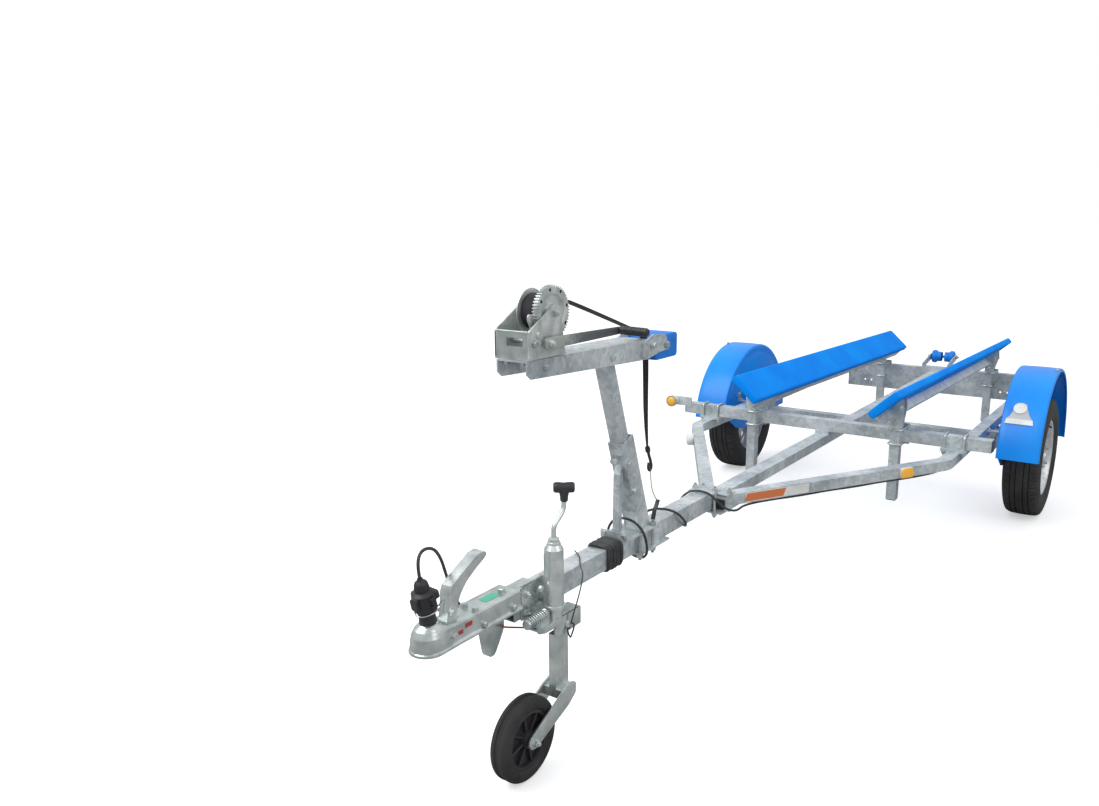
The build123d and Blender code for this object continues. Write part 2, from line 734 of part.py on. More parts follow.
grip_way = ((64.3, -2544, 1101), (152, -2544, 1099))
save("crank_grip", rod(*grip_way, 12))
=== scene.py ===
import math

import bmesh
import bpy
import numpy as np
from mathutils import Matrix, Vector


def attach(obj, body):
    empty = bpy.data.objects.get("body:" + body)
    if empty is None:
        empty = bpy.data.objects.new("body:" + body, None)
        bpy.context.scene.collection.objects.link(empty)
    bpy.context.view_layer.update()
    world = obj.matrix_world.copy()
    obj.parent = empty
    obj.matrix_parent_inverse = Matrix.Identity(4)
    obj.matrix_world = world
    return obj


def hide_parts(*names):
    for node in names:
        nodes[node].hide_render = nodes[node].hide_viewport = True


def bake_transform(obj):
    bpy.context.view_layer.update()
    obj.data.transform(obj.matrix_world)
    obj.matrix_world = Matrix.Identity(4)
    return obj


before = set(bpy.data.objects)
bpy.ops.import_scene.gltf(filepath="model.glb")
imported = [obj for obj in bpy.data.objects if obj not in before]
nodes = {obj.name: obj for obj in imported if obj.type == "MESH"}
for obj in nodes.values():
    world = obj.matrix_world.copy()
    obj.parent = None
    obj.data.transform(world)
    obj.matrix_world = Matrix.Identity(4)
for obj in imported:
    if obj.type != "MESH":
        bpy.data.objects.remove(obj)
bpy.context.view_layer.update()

# View.  The camera stands at eye height ahead of the trailer, on the side of the jockey wheel.
# The floor is a plain pale sheet and the light is soft, as under a thin white sky.
EYE = (1.356, -3.650, 1.404)
HEADING = math.radians(37.119)
PITCH = math.radians(90.0 - 11.876)
ROLL = math.radians(-0.635)
LENS = 28.94
scene = bpy.context.scene


def stood(name, data):
    """An object with that data, in the scene."""
    made = bpy.data.objects.new(name, data)
    scene.collection.objects.link(made)
    return made


view = stood("view", bpy.data.cameras.new("view"))
view.data.sensor_width = 36.0
view.data.lens = LENS
view.data.clip_end = 200.0
view.matrix_world = (
    Matrix.Translation(EYE)
    @ Matrix.Rotation(HEADING, 4, "Z")
    @ Matrix.Rotation(PITCH, 4, "X")
    @ Matrix.Rotation(ROLL, 4, "Z")
)
scene.camera = view
scene.view_settings.view_transform = "Standard"


def feed(tree, value, socket):
    """Links a flow to a socket, or sets the socket to a plain value."""
    if isinstance(value, Flow):
        tree.links.new(value.socket, socket)
    else:
        socket.default_value = value


def add_node(tree, kind, settings=None, inputs=None, out=0):
    """Adds a node and gives the flow out of it.  A ramp's stops are (position, colour)."""
    node = tree.nodes.new(kind)
    for key, value in (settings or {}).items():
        if key != "stops":
            setattr(node, key, value)
            continue
        while len(node.color_ramp.elements) < len(value):
            node.color_ramp.elements.new(1.0)
        for stop, (where, colour) in zip(node.color_ramp.elements, value):
            stop.position = where
            stop.color = (*colour, 1.0)
    for key, value in (inputs or {}).items():
        feed(tree, value, node.inputs[key])
    return Flow(tree, node.outputs[out])


class Flow:
    """A number, colour or vector on its way through a material.  It adds and multiplies."""

    def __init__(self, tree, socket):
        self.tree = tree
        self.socket = socket

    def math(self, operation, other):
        return add_node(self.tree, "ShaderNodeMath", {"operation": operation}, {0: self, 1: other})

    def __add__(self, other):
        return self.math("ADD", other)

    def __mul__(self, other):
        return self.math("MULTIPLY", other)

    __radd__ = __add__
    __rmul__ = __mul__


class Finish:
    """A material being made up: a principled shader and the nodes that feed it."""

    def __init__(self, name, colour, roughness, metallic=0.0, **fixed):
        self.material = bpy.data.materials.new(name)
        self.material.use_nodes = True
        self.tree = self.material.node_tree
        self.tree.nodes.clear()
        self.shader = self.tree.nodes.new("ShaderNodeBsdfPrincipled")
        out = self.tree.nodes.new("ShaderNodeOutputMaterial")
        self.tree.links.new(self.shader.outputs[0], out.inputs[0])
        self.set("Base Color", (*colour, 1.0))
        self.set("Roughness", roughness)
        self.set("Metallic", metallic)
        for socket, value in fixed.items():
            self.set(socket.replace("_", " "), value)
        self.place = self.node("ShaderNodeTexCoord", out="Object")

    def set(self, socket, value):
        feed(self.tree, value, self.shader.inputs[socket])

    def node(self, kind, settings=None, inputs=None, out=0):
        return add_node(self.tree, kind, settings, inputs, out)

    def noise(self, scale, detail=3.0, where=None):
        found = {"Vector": where or self.place, "Scale": scale, "Detail": detail}
        return self.node("ShaderNodeTexNoise", inputs=found)

    def tint(self, value, *stops):
        self.set("Base Color", self.node("ShaderNodeValToRGB", {"stops": stops}, {"Fac": value}))

    def bump(self, height, strength, distance):
        found = {"Height": height, "Strength": strength, "Distance": distance}
        self.set("Normal", self.node("ShaderNodeBump", inputs=found))


def dress(finish, *names):
    """Gives CAD nodes a finish."""
    for name in names:
        mesh = nodes[name].data
        mesh.materials.clear()
        mesh.materials.append(finish.material)


def piece(name, mesh, finish, body="root", stands_for=()):
    """A finished piece at the origin, riding on its body; with no body it rides on none."""
    mesh.materials.clear()
    mesh.materials.append(finish.material)
    made = stood(name, mesh)
    if body:
        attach(made, body)
    if stands_for:
        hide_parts(*stands_for)
    return made


# The camera sees the floor and the sky as white.  The metal sees a darker floor and horizon.
FLOOR_REACH = 60
FLOOR_GREY, FLOOR_SEEN, FLOOR_GLOW = 0.35, 0.42, 0.46
SKY_STOPS = ((0.0, (0.48, 0.49, 0.50)), (0.55, (0.96, 0.98, 1.0)))
SKY_POWER = 0.9
floor_finish = Finish("pale_floor", (0.90, 0.90, 0.90), 0.9, Emission_Strength=FLOOR_GLOW)
shade = floor_finish.noise(0.7)
floor_seen = floor_finish.node("ShaderNodeLightPath", out="Is Camera Ray")
floor_finish.set("Base Color", floor_seen * FLOOR_SEEN + shade * 0.02 + FLOOR_GREY)
floor_finish.set("Emission Color", floor_seen)
floor_mesh = bpy.data.meshes.new("floor")
floor_signs = ((-1, -1), (1, -1), (1, 1), (-1, 1))
floor_corners = [(FLOOR_REACH * u, FLOOR_REACH * v, 0) for u, v in floor_signs]
floor_mesh.from_pydata(floor_corners, [], [(0, 1, 2, 3)])
floor_mesh.materials.append(floor_finish.material)
stood("floor", floor_mesh)

sky = bpy.data.worlds.new("sky")
scene.world = sky
sky.use_nodes = True
tree = sky.node_tree
tree.nodes.clear()
heading = add_node(tree, "ShaderNodeTexCoord", out="Generated")
height = add_node(tree, "ShaderNodeSeparateXYZ", inputs={0: heading}, out="Z")
fade = add_node(tree, "ShaderNodeValToRGB", {"stops": SKY_STOPS}, {0: height})
lit = add_node(tree, "ShaderNodeBackground", inputs={0: fade, 1: SKY_POWER})
white = add_node(tree, "ShaderNodeBackground", inputs={0: (1.0, 1.0, 1.0, 1.0), 1: 1.0})
sky_seen = add_node(tree, "ShaderNodeLightPath", out="Is Camera Ray")
either = add_node(tree, "ShaderNodeMixShader", inputs={0: sky_seen, 1: lit, 2: white})
tree.links.new(either.socket, tree.nodes.new("ShaderNodeOutputWorld").inputs[0])


def lamp(name, place, aim, size, power):
    """A square soft light at a place, aimed at a point."""
    light = bpy.data.lights.new(name, "AREA")
    light.shape = "SQUARE"
    light.size = size
    light.energy = power
    made = stood(name, light)
    made.location = place
    made.rotation_euler = (Vector(aim) - Vector(place)).to_track_quat("-Z", "Y").to_euler()


lamp("key_light", (-3.0, -5.0, 6.5), (0.0, -0.4, 0.4), 5.0, 290)
lamp("side_light", (5.5, -1.0, 4.0), (0.0, 0.0, 0.4), 4.0, 50)

# Lead: a black rubber cord from the plug, over the coupling, wound round the drawbar, loosely
# round it again in front of the frame's point, and then clipped along the left rail.
MM = 0.001
AXLE_Y = 0.925
LEAD_R = 4.0
DRAWBAR_Z = 431
PLUG_LEAN = math.radians(10.5)
PLUG_FOOT = (0.0, -3251.0, 500.0)
PLUG_WAY = Vector((0.0, -math.sin(PLUG_LEAN), math.cos(PLUG_LEAN)))


def at(x, y, z):
    """A place given in millimetres from the axle, in the frame's metres."""
    return Vector((x * MM, y * MM + AXLE_Y, z * MM))


def on_plug(height):
    """The place on the plug's axis at a height above its foot, in millimetres."""
    return tuple(Vector(PLUG_FOOT) + PLUG_WAY * height)


def lead_piece(name, points, node):
    """A length of the lead along its route, given in millimetres from the axle."""
    curve = bpy.data.curves.new("cord", "CURVE")
    curve.dimensions = "3D"
    line = curve.splines.new("NURBS")
    line.points.add(len(points) - 1)
    for spot, point in zip(line.points, points):
        spot.co = (*at(*point), 1.0)
    line.order_u = 3
    line.use_endpoint_u = True
    line.resolution_u = 6
    curve.bevel_depth = LEAD_R * MM
    curve.bevel_resolution = 3
    curve.use_fill_caps = True
    piece(name, curve, cord_rubber, stands_for=[node])


cord_rubber = Finish("cord_rubber", (0.030, 0.031, 0.034), 0.5)
scuff = cord_rubber.noise(40.0)
cord_rubber.tint(scuff, (0.3, (0.018, 0.019, 0.021)), (0.75, (0.06, 0.062, 0.068)))
cord_rubber.set("Roughness", 0.38 + scuff * 0.2)

lead_front = [
    on_plug(118.3), on_plug(154.3), (-8, -3257, 676), (-20, -3208, 664), (-36, -3168, 624),
    (-47, -3142, 574), (-50, -3122, 520), (-50, -3090, 462), (-48, -3040, 418), (-46, -2980, 396),
    (-46, -2900, 392), (-46, -2810, 393), (-44, -2720, 398), (-38, -2640, 420),
    (-36, -2590, DRAWBAR_Z), (-36, -2562.3, DRAWBAR_Z),
]
lead_piece("lead_front_cord", lead_front, "lead_front")

COIL_FRONT, COIL_REAR = -2558.0, -2479.0
COIL_TURNS = 10
COIL_LOOSE = 0.07
coil_turn = [
    (-36, 431), (-35, 459), (-24, 467), (0, 467.5), (24, 467), (35, 459), (36, 431), (35, 403),
    (24, 395), (0, 394.5), (-24, 395), (-35, 403),
]
turn_steps = len(coil_turn)
coil_steps = COIL_TURNS * turn_steps
coil_points = [(-36, COIL_FRONT, DRAWBAR_Z)]
for count in range(coil_steps):
    u, v = coil_turn[(count + 1) % turn_steps]
    swell = 0.5 + 0.5 * math.sin(count / turn_steps * 2.4)
    fading = min(1.0, count / turn_steps, (coil_steps - 1 - count) / turn_steps)
    loose = 1.0 + COIL_LOOSE * swell * fading
    along = COIL_FRONT + (COIL_REAR - COIL_FRONT) * (count + 1) / coil_steps
    coil_points.append((u * loose, along, DRAWBAR_Z + (v - DRAWBAR_Z) * loose))
lead_piece("lead_coil_cord", coil_points, "lead_coil")

lead_loops = [
    (-36, -2474.7, DRAWBAR_Z), (-36, -2447, DRAWBAR_Z), (-57, -2424, 456), (-48, -2415, 492),
    (-16, -2411, 510), (26, -2408, 508), (57, -2402, 482), (66, -2392, 440), (62, -2382, 400),
    (37, -2368, 376), (-8, -2352, 370), (-48, -2336, 382), (-62, -2300, 416), (-56, -2264, 454),
    (-32, -2226, 478), (4, -2196, 484), (38, -2162, 468), (48, -2122, 430), (34, -2080, 394),
    (-6, -2044, 382), (-42, -2010, 400), (-54, -1976, 440), (-36, -1944, 468), (4, -1936, 476),
    (46, -1934, 469), (74, -1926, 438), (86, -1886, 408), (94, -1826, 388),
]
LEG_ANGLE = math.radians(29.8)
LEG_APEX_Y = -1855.0
LEG_SLOPE = math.tan(LEG_ANGLE)
lead_leg = []
for count, y in enumerate(range(-1740, -960, 110)):
    lead_leg.append((16 + LEG_SLOPE * (y - LEG_APEX_Y), y, 386 + 3 * (count % 2)))
lead_bend = [(541, -888, 386), (525, -800, 387), (524, -710, 400)]
lead_rail = [(525, y, 412 + 3 * (count % 2)) for count, y in enumerate(range(-610, 1160, 118))]
lead_end = [(525, 1182.7, 413.5)]
lead_piece("lead_cord", lead_loops + lead_leg + lead_bend + lead_rail + lead_end, "lead")

# Galvanised frame: tube and plate that was cut, welded and then dipped in molten zinc, which
# leaves soft grey spangles, drips and cloudy runs.  U-bolts and hexagon bolts hold it together.
UP, DOWN = (0, 0, 1), (0, 0, -1)
AHEAD, BEHIND = (0, -1, 0), (0, 1, 0)
LEFT, RIGHT = (1, 0, 0), (-1, 0, 0)
ACROSS = Vector(LEFT)
ORIGIN = Vector((0, 0, 0))


def smoothed(mesh, angle=32.0):
    """Smooths a mesh up to an angle between its faces."""
    mesh.shade_smooth()
    mesh.set_sharp_from_angle(angle=math.radians(angle))
    return mesh


def worked(work, name="worked"):
    """The mesh that a mesh tool was working on."""
    mesh = bpy.data.meshes.new(name)
    work.to_mesh(mesh)
    work.free()
    return mesh


def settled(mesh, angle=32.0):
    """Welds a mesh, turns its faces outward and smooths it up to an angle."""
    work = bmesh.new()
    work.from_mesh(mesh)
    bmesh.ops.remove_doubles(work, verts=work.verts, dist=2e-6)
    bmesh.ops.recalc_face_normals(work, faces=work.faces)
    work.to_mesh(mesh)
    work.free()
    return smoothed(mesh, angle)


def thickened(mesh, thickness):
    """A mesh of one layer given a thickness in metres."""
    work = bmesh.new()
    work.from_mesh(mesh)
    bmesh.ops.solidify(work, geom=work.faces[:], thickness=thickness)
    return settled(worked(work))


def skin(rows, around=True, ends=False, joined=False):
    """A mesh over rows of points.  Rows may close up, meet last to first or be capped."""
    grid = np.array([[tuple(point) for point in row] for row in rows])
    count, width = grid.shape[:2]
    faces = []
    for i in range(count if joined else count - 1):
        after = (i + 1) % count * width
        for j in range(width if around else width - 1):
            beside = (j + 1) % width
            faces.append((i * width + j, i * width + beside, after + beside, after + j))
    if ends:
        faces += [tuple(range(width)), tuple(range((count - 1) * width, count * width))]
    mesh = bpy.data.meshes.new("skin")
    mesh.from_pydata(grid.reshape(-1, 3).tolist(), [], faces)
    return settled(mesh)


def about(angle, radius=1.0):
    """An arm of that radius, turned by an angle about the trailer's cross axis."""
    return Vector((0, math.cos(angle) * radius, math.sin(angle) * radius))


def turned(centre, section, way=LEFT, turns=48, closed=False, carve=None):
    """A turned mesh.  The section gives distance along the axis and radius, in millimetres."""
    lean = Vector(UP).rotation_difference(Vector(way))
    rows = []
    for step in range(turns):
        angle = math.tau * step / turns
        row = []
        for along, radius in section:
            if carve:
                radius -= carve(along, radius, step)
            spot = Vector((radius * math.cos(angle), radius * math.sin(angle), along))
            row.append(centre + lean @ spot * MM)
        rows.append(row)
    return skin(rows, around=closed, joined=True)


def plugged(*line):
    """A turned section closed at both ends by a face that reaches the axis."""
    return [(line[0][0], 0), *line, (line[-1][0], 0)]


def swept(path, section, side=LEFT):
    """A section in millimetres carried along a path, its first axis kept near the side given."""
    rows = []
    side = Vector(side)
    last = len(path) - 1
    for step, point in enumerate(path):
        way = (path[min(step + 1, last)] - path[max(step - 1, 0)]).normalized()
        side = (side - way * side.dot(way)).normalized()
        second = way.cross(side)
        rows.append([point + (side * u + second * v) * MM for u, v in section])
    return skin(rows, ends=True)


def ring(radius, count=12):
    """A circle as a section."""
    turns = [math.tau * i / count for i in range(count)]
    return [(radius * math.cos(turn), radius * math.sin(turn)) for turn in turns]


def bar(width, height, soft=1.0):
    """A rectangle with cut corners as a section."""
    u = width / 2
    v = height / 2
    corners = [(u, v - soft), (u - soft, v), (soft - u, v), (-u, v - soft)]
    return corners + [(-a, -b) for a, b in corners]


def bent(before, corner, after, reach, share, steps):
    """Points round a corner.  The curve starts at most a share of the way to its neighbours."""
    cut = min(reach, (before - corner).length * share, (after - corner).length * share)
    start = corner + (before - corner).normalized() * cut
    stop = corner + (after - corner).normalized() * cut
    shares = [step / steps for step in range(steps + 1)]
    return [start * (1 - t) ** 2 + corner * (2 * t * (1 - t)) + stop * t**2 for t in shares]


def eased(points, reach, steps=6):
    """A path through places in millimetres, its corners rounded from a distance before them."""
    spots = [at(*point) for point in points]
    path = [spots[0]]
    for before, corner, after in zip(spots, spots[1:], spots[2:]):
        path += bent(before, corner, after, reach * MM, 0.49, steps)
    return path + [spots[-1]]


def rounded(outline, reach, steps=4):
    """A flat outline with its corners rounded."""
    spots = [Vector(spot) for spot in outline]
    found = []
    for before, corner, after in zip(spots[-1:] + spots, spots, spots[1:] + spots[:1]):
        found += [tuple(spot) for spot in bent(before, corner, after, reach, 0.48, steps)]
    return found


def oblong(u0, v0, u1, v1):
    """A rectangle's outline between two opposite corners."""
    return [(u0, v0), (u1, v0), (u1, v1), (u0, v1)]


def slab(outline, low, high, plane="YZ", soft=0.8):
    """A flat piece with eased edges, drawn in one plane and given a thickness across it."""

    def place(u, v, w):
        return {"YZ": at(w, u, v), "XZ": at(u, w, v), "XY": at(u, v, w)}[plane]

    low, high = min(low, high), max(low, high)
    work = bmesh.new()
    spots = [work.verts.new(place(u, v, low)) for u, v in outline]
    edges = [work.edges.new(pair) for pair in zip(spots, spots[1:] + spots[:1])]
    bmesh.ops.triangle_fill(work, edges=edges, use_beauty=True, use_dissolve=True)
    made = bmesh.ops.extrude_face_region(work, geom=work.faces[:])
    moved = [part for part in made["geom"] if isinstance(part, bmesh.types.BMVert)]
    bmesh.ops.translate(work, vec=place(0, 0, high) - place(0, 0, low), verts=moved)
    bmesh.ops.recalc_face_normals(work, faces=work.faces)
    sharp = [edge for edge in work.edges if edge.calc_face_angle(0.0) > 0.6]
    if soft:
        bmesh.ops.bevel(work, geom=sharp, offset=soft * MM, segments=2, affect="EDGES", profile=0.5)
    return settled(worked(work, "slab"))


def merged(*meshes):
    """Several meshes as one."""
    work = bmesh.new()
    for mesh in meshes:
        work.from_mesh(mesh)
    return smoothed(worked(work, "merged"))


def mirrored(mesh):
    """The mesh and its twin on the other side of the trailer."""
    twin = mesh.copy()
    twin.transform(Matrix.Scale(-1, 4, LEFT))
    twin.flip_normals()
    return merged(mesh, twin)


def doubled(half):
    """A turned section from one half and its mirror image."""
    return half + [(-along, radius) for along, radius in reversed(half) if along]


def repeater():
    """A node group that sets a part at every point, facing that point's stored way."""
    group = bpy.data.node_groups.new("repeated_part", "GeometryNodeTree")
    kinds = {"Places": "Geometry", "Part": "Object", "Finish": "Material", "Seed": "Int"}
    sockets = {}
    for label, kind in kinds.items():
        made = group.interface.new_socket(label, in_out="INPUT", socket_type="NodeSocket" + kind)
        sockets[label] = made.identifier
    group.interface.new_socket("Made", in_out="OUTPUT", socket_type="NodeSocketGeometry")

    def add(kind, links=(), **settings):
        """Adds a node.  Its links are (node before, that node's output, own input)."""
        node = group.nodes.new(kind)
        for key, value in settings.items():
            setattr(node, key, value)
        for source, out, into in links:
            group.links.new(source.outputs[out], node.inputs[into])
        return node

    start = add("NodeGroupInput")
    part = add("GeometryNodeObjectInfo", [(start, "Part", "Object")])
    facing = add("GeometryNodeInputNamedAttribute", data_type="FLOAT_VECTOR")
    facing.inputs["Name"].default_value = "way"
    size = add("GeometryNodeInputNamedAttribute", data_type="FLOAT")
    size.inputs["Name"].default_value = "size"
    align = add("FunctionNodeAlignRotationToVector", [(facing, "Attribute", "Vector")], axis="Z")
    spin = add("FunctionNodeRandomValue", [(start, "Seed", "Seed")], data_type="FLOAT")
    spin.inputs["Max"].default_value = math.tau
    roll = add("FunctionNodeAxisAngleToRotation")
    group.links.new(next(out for out in spin.outputs if out.type == "VALUE"), roll.inputs["Angle"])
    turn_links = [(align, 0, "Rotation"), (roll, 0, "Rotate By")]
    turn = add("FunctionNodeRotateRotation", turn_links, rotation_space="LOCAL")
    set_links = [(start, "Places", "Points"), (part, "Geometry", "Instance")]
    set_links += [(turn, 0, "Rotation"), (size, "Attribute", "Scale")]
    copies = add("GeometryNodeInstanceOnPoints", set_links)
    real = add("GeometryNodeRealizeInstances", [(copies, 0, 0)])
    paint = add("GeometryNodeSetMaterial", [(real, 0, "Geometry"), (start, "Finish", "Material")])
    add("NodeGroupOutput", [(paint, 0, 0)])
    return group, sockets


repeat_group, repeat_sockets = repeater()


def repeated(part, places, finish, seed):
    """Copies of a part that stands at the origin facing +Z, set at (place, way, size)."""
    points = bpy.data.meshes.new("places")
    points.from_pydata([tuple(place) for place, _, _ in places], [], [])
    way = points.attributes.new("way", "FLOAT_VECTOR", "POINT")
    way.data.foreach_set("vector", [value for _, facing, _ in places for value in facing])
    size = points.attributes.new("size", "FLOAT", "POINT")
    size.data.foreach_set("value", [scale for _, _, scale in places])
    holder = stood("places", points)
    model = bpy.data.objects.new("part", part)
    made = holder.modifiers.new("repeat", "NODES")
    made.node_group = repeat_group
    for label, value in (("Part", model), ("Finish", finish.material), ("Seed", seed)):
        made[repeat_sockets[label]] = value
    done = holder.evaluated_get(bpy.context.evaluated_depsgraph_get())
    done = bpy.data.meshes.new_from_object(done)
    bpy.data.objects.remove(holder)
    bpy.data.objects.remove(model)
    return smoothed(done)


def hex_bolt(across=19.0, head=8.0, shank=0.0):
    """A hexagon head on a washer, with the thread's end showing beyond it where it is a nut."""
    radius = across / math.sqrt(3)
    washer = turned(ORIGIN, plugged((0, across * 0.66), (2.2, across * 0.66)), UP, 24)
    crown = plugged((2.2, radius), (head + 1.2, radius), (head + 2.2, radius * 0.86))
    parts = [washer, turned(ORIGIN, crown, UP, 6)]
    if shank:
        thread = [(0, 0)]
        for step in range(int(shank)):
            thread += [(head + step, across * 0.30), (head + step + 0.5, across * 0.26)]
        parts.append(turned(ORIGIN, thread + [(head + shank, 0)], UP, 16))
    return merged(*parts)


galvanised = Finish("galvanised_steel", (0.60, 0.63, 0.65), 0.42, 0.5)
spangle_inputs = {"Vector": galvanised.place, "Scale": 70.0}
spangle = galvanised.node("ShaderNodeTexVoronoi", inputs=spangle_inputs, out=1)
flake = galvanised.node("ShaderNodeSeparateColor", inputs={"Color": spangle})
cloud = galvanised.noise(7.0, 6.0)
speck = galvanised.noise(220.0, 2.0)
drawn_out = {"Vector": galvanised.place, "Scale": (1.0, 0.15, 1.0)}
streak = galvanised.noise(14.0, 4.0, galvanised.node("ShaderNodeMapping", inputs=drawn_out))
tone = flake * 0.13 + cloud * 0.55 + streak * 0.22 + speck * 0.10
grey_stops = ((0.30, (0.30, 0.35, 0.38)), (0.50, (0.56, 0.61, 0.63)), (0.70, (0.84, 0.88, 0.89)))
galvanised.tint(tone, *grey_stops)
galvanised.set("Roughness", 0.26 + cloud * 0.26)
galvanised.bump(cloud * 0.7 + speck * 0.12 + flake * 0.06, 0.22, 0.0014)
dress(galvanised, "drawbar", "spine", "side_rails", "frame_plates", "front_beam", "rear_beam")
dress(galvanised, "rear_channel", "axle_tube", "axle_saddles", "swing_arms", "mudguard_stays")
dress(galvanised, "bunk_rails", "uprights", "bunk_ears", "roller_bracket", "post_outer")
dress(galvanised, "post_inner", "post_plates", "winch_table", "bow_plates")

zinc = Finish("bright_zinc", (0.62, 0.64, 0.66), 0.3, 0.78)
haze = zinc.noise(26.0, 5.0)
grime = zinc.noise(6.0)
zinc.tint(haze * 0.6 + grime * 0.4, (0.32, (0.38, 0.43, 0.43)), (0.68, (0.78, 0.82, 0.80)))
zinc.set("Roughness", 0.12 + haze * 0.24)
zinc.bump(haze, 0.14, 0.0008)

BOLT = hex_bolt(17.0, 8.0)
NUT = hex_bolt(17.0, 9.0, 9.0)
SMALL_BOLT = hex_bolt(12.0, 6.0)


def bolted(name, part, places, seed, body="root"):
    """Bolts, nuts or staples of bright zinc, as one piece."""
    piece(name, repeated(part, places, zinc, seed), zinc, body)


def u_bolt(points, radius=5.0):
    """A round bar bent into a U."""
    return swept(eased(points, 16, 5), ring(radius), (0.3, 0.5, 0.8))


upright_clamps = ((326, -791, -689, (504, 442)), (313, 1137, 1241, (466, 388)))
clamp_bars = [(38, -2385, 395, 467), (38, -2310, 395, 467), (38, -1888, 389, 467)]
clamp_bars.append((52, -1800, 389, 441))
u_bolts = []
nuts = []
for sign in (-1, 1):
    for x in (517 * sign, 593 * sign):
        u_bolts.append(u_bolt([(x, -751, 422), (x, -751, 504), (x, -689, 504), (x, -689, 422)]))
        nuts += [(at(x, y, 435), DOWN, 1.0) for y in (-751, -689)]
    # Two U-bolts round each upright, whose backing plate lies at the back: x, front, back, heights.
    for x, front, back, heights in upright_clamps:
        inner, outer, end = x * sign - 26, x * sign + 26, back + 12
        for z in heights:
            bends = [(inner, end, z), (inner, front, z), (outer, front, z), (outer, end, z)]
            u_bolts.append(u_bolt(bends, 4.5))
            nuts += [(at(side, back, z), BEHIND, 0.9) for side in (inner, outer)]
        backing = oblong(x * sign - 38, heights[1] - 14, x * sign + 38, heights[0] + 14)
        u_bolts.append(slab(rounded(backing, 6), back - 6, back, "XZ"))
    x = 591 * sign
    u_bolts.append(u_bolt([(x, -96, 408), (x, -96, 309), (x, -24, 309), (x, -24, 408)]))
    nuts += [(at(x, y, 395), UP, 0.9) for y in (-96, -24)]
    # Threaded bars through the clamp plates of the post and of the frame's point.
    for x, y, low, high in clamp_bars:
        u_bolts.append(swept([at(x * sign, y, low - 12), at(x * sign, y, high + 12)], ring(5)))
        nuts += [(at(x * sign, y, low), DOWN, 1.0), (at(x * sign, y, high), UP, 1.0)]
    for y in (-225, 225):
        nuts += [(at(x * sign, y, 427), UP, 0.7) for x in (590, 635)]
        nuts.append((at(585 * sign, y, 409), (-sign, 0, 0), 0.7))
    nuts.append((at(400 * sign, 1193, 352), AHEAD, 0.8))
    nuts.append((at(77 * sign, 1386, 508), (sign, 0, 0), 0.9))
piece("u_bolts", merged(*u_bolts), zinc)
bolted("frame_nuts", NUT, nuts, 3)

# Bunks: boards wrapped in blue marine carpet over a thin pad, drawn tight round soft edges and
# stapled underneath.  Brackets on the uprights carry them at a slope, for the hull to lie on.
carpet = Finish("blue_carpet", (0.0, 0.27, 0.95), 0.95, Specular_IOR_Level=0.2)
pile = carpet.noise(700.0, 2.0)
patch = carpet.noise(5.0, 4.0)
carpet.tint(patch * 0.7 + pile * 0.3, (0.3, (0.0, 0.22, 0.86)), (0.7, (0.0, 0.33, 1.0)))
carpet.bump(pile, 0.5, 0.0012)
FACE_IN = (240.0, 590.0)
FACE_OUT = (352.0, 695.0)
BUNK_FRONT = -912.0
BUNK_REAR = 1450.0
BUNK_FALL = 47.0
BUNK_T = 35.0
BUNK_CUTS = 220
face_width = math.dist(FACE_IN, FACE_OUT)
face_run = ((FACE_OUT[0] - FACE_IN[0]) / face_width, (FACE_OUT[1] - FACE_IN[1]) / face_width)


def bunk_place(share, up_slope, depth):
    """A place on the left bunk: share of its length, distance up its face and depth behind it."""
    x = FACE_IN[0] + face_run[0] * up_slope + face_run[1] * depth
    z = FACE_IN[1] + face_run[1] * up_slope - face_run[0] * depth
    return at(x, BUNK_FRONT + (BUNK_REAR - BUNK_FRONT) * share, z - BUNK_FALL * share)


def pad_section(puff):
    """The wrapped board's outline: distance up the slope and depth, with its face swollen."""
    outline = rounded(oblong(0, 0, face_width, BUNK_T), 11, 6)
    found = []
    for (u0, v0), (u1, v1) in zip(outline, outline[1:] + outline[:1]):
        cuts = max(1, int(math.dist((u0, v0), (u1, v1)) / 11))
        for t in range(cuts):
            u, v = u0 + (u1 - u0) * t / cuts, v0 + (v1 - v0) * t / cuts
            swell = puff * max(0.0, math.sin(math.pi * u / face_width)) if v < BUNK_T / 2 else 0.0
            found.append((u, v - swell))
    return found


bunk_ends = [(0.0, 5.0), (0.0006, 2.0), (0.0016, 0.6)]
bunk_stations = bunk_ends + [(0.003 + 0.994 * i / BUNK_CUTS, 0.0) for i in range(BUNK_CUTS + 1)]
bunk_stations += [(1 - share, shrink) for share, shrink in reversed(bunk_ends)]
bunk_rows = []
for share, shrink in bunk_stations:
    ripple = 0.7 * math.sin(share * 61.0) + 0.5 * math.sin(share * 143.0 + 1.0)
    narrow, thin = 1 - 2 * shrink / face_width, 1 - 2 * shrink / BUNK_T
    row = []
    for u, v in pad_section(1.2 + ripple * 0.8):
        u, v = face_width / 2 + (u - face_width / 2) * narrow, BUNK_T / 2 + (v - BUNK_T / 2) * thin
        row.append(bunk_place(share, u, v + 0.8))
    bunk_rows.append(row)
bunk_body = skin(bunk_rows, ends=True)
bunk_pads = piece("bunk_pads", mirrored(bunk_body), carpet, stands_for=["bunks"])
staple_bends = [(-6, -925, -1), (-6, -925, 0.7), (6, -925, 0.7), (6, -925, -1)]
STAPLE = swept(eased(staple_bends, 0.5, 2), ring(0.6, 6))
staples = []
for share in np.linspace(0.01, 0.99, 64):
    x, y, z = bunk_place(share, 92.0, BUNK_T)
    for sign in (1, -1):
        staples.append((Vector((x * sign, y, z)), (face_run[1] * sign, 0, -face_run[0]), 1.0))
bolted("bunk_staples", STAPLE, staples, 5)
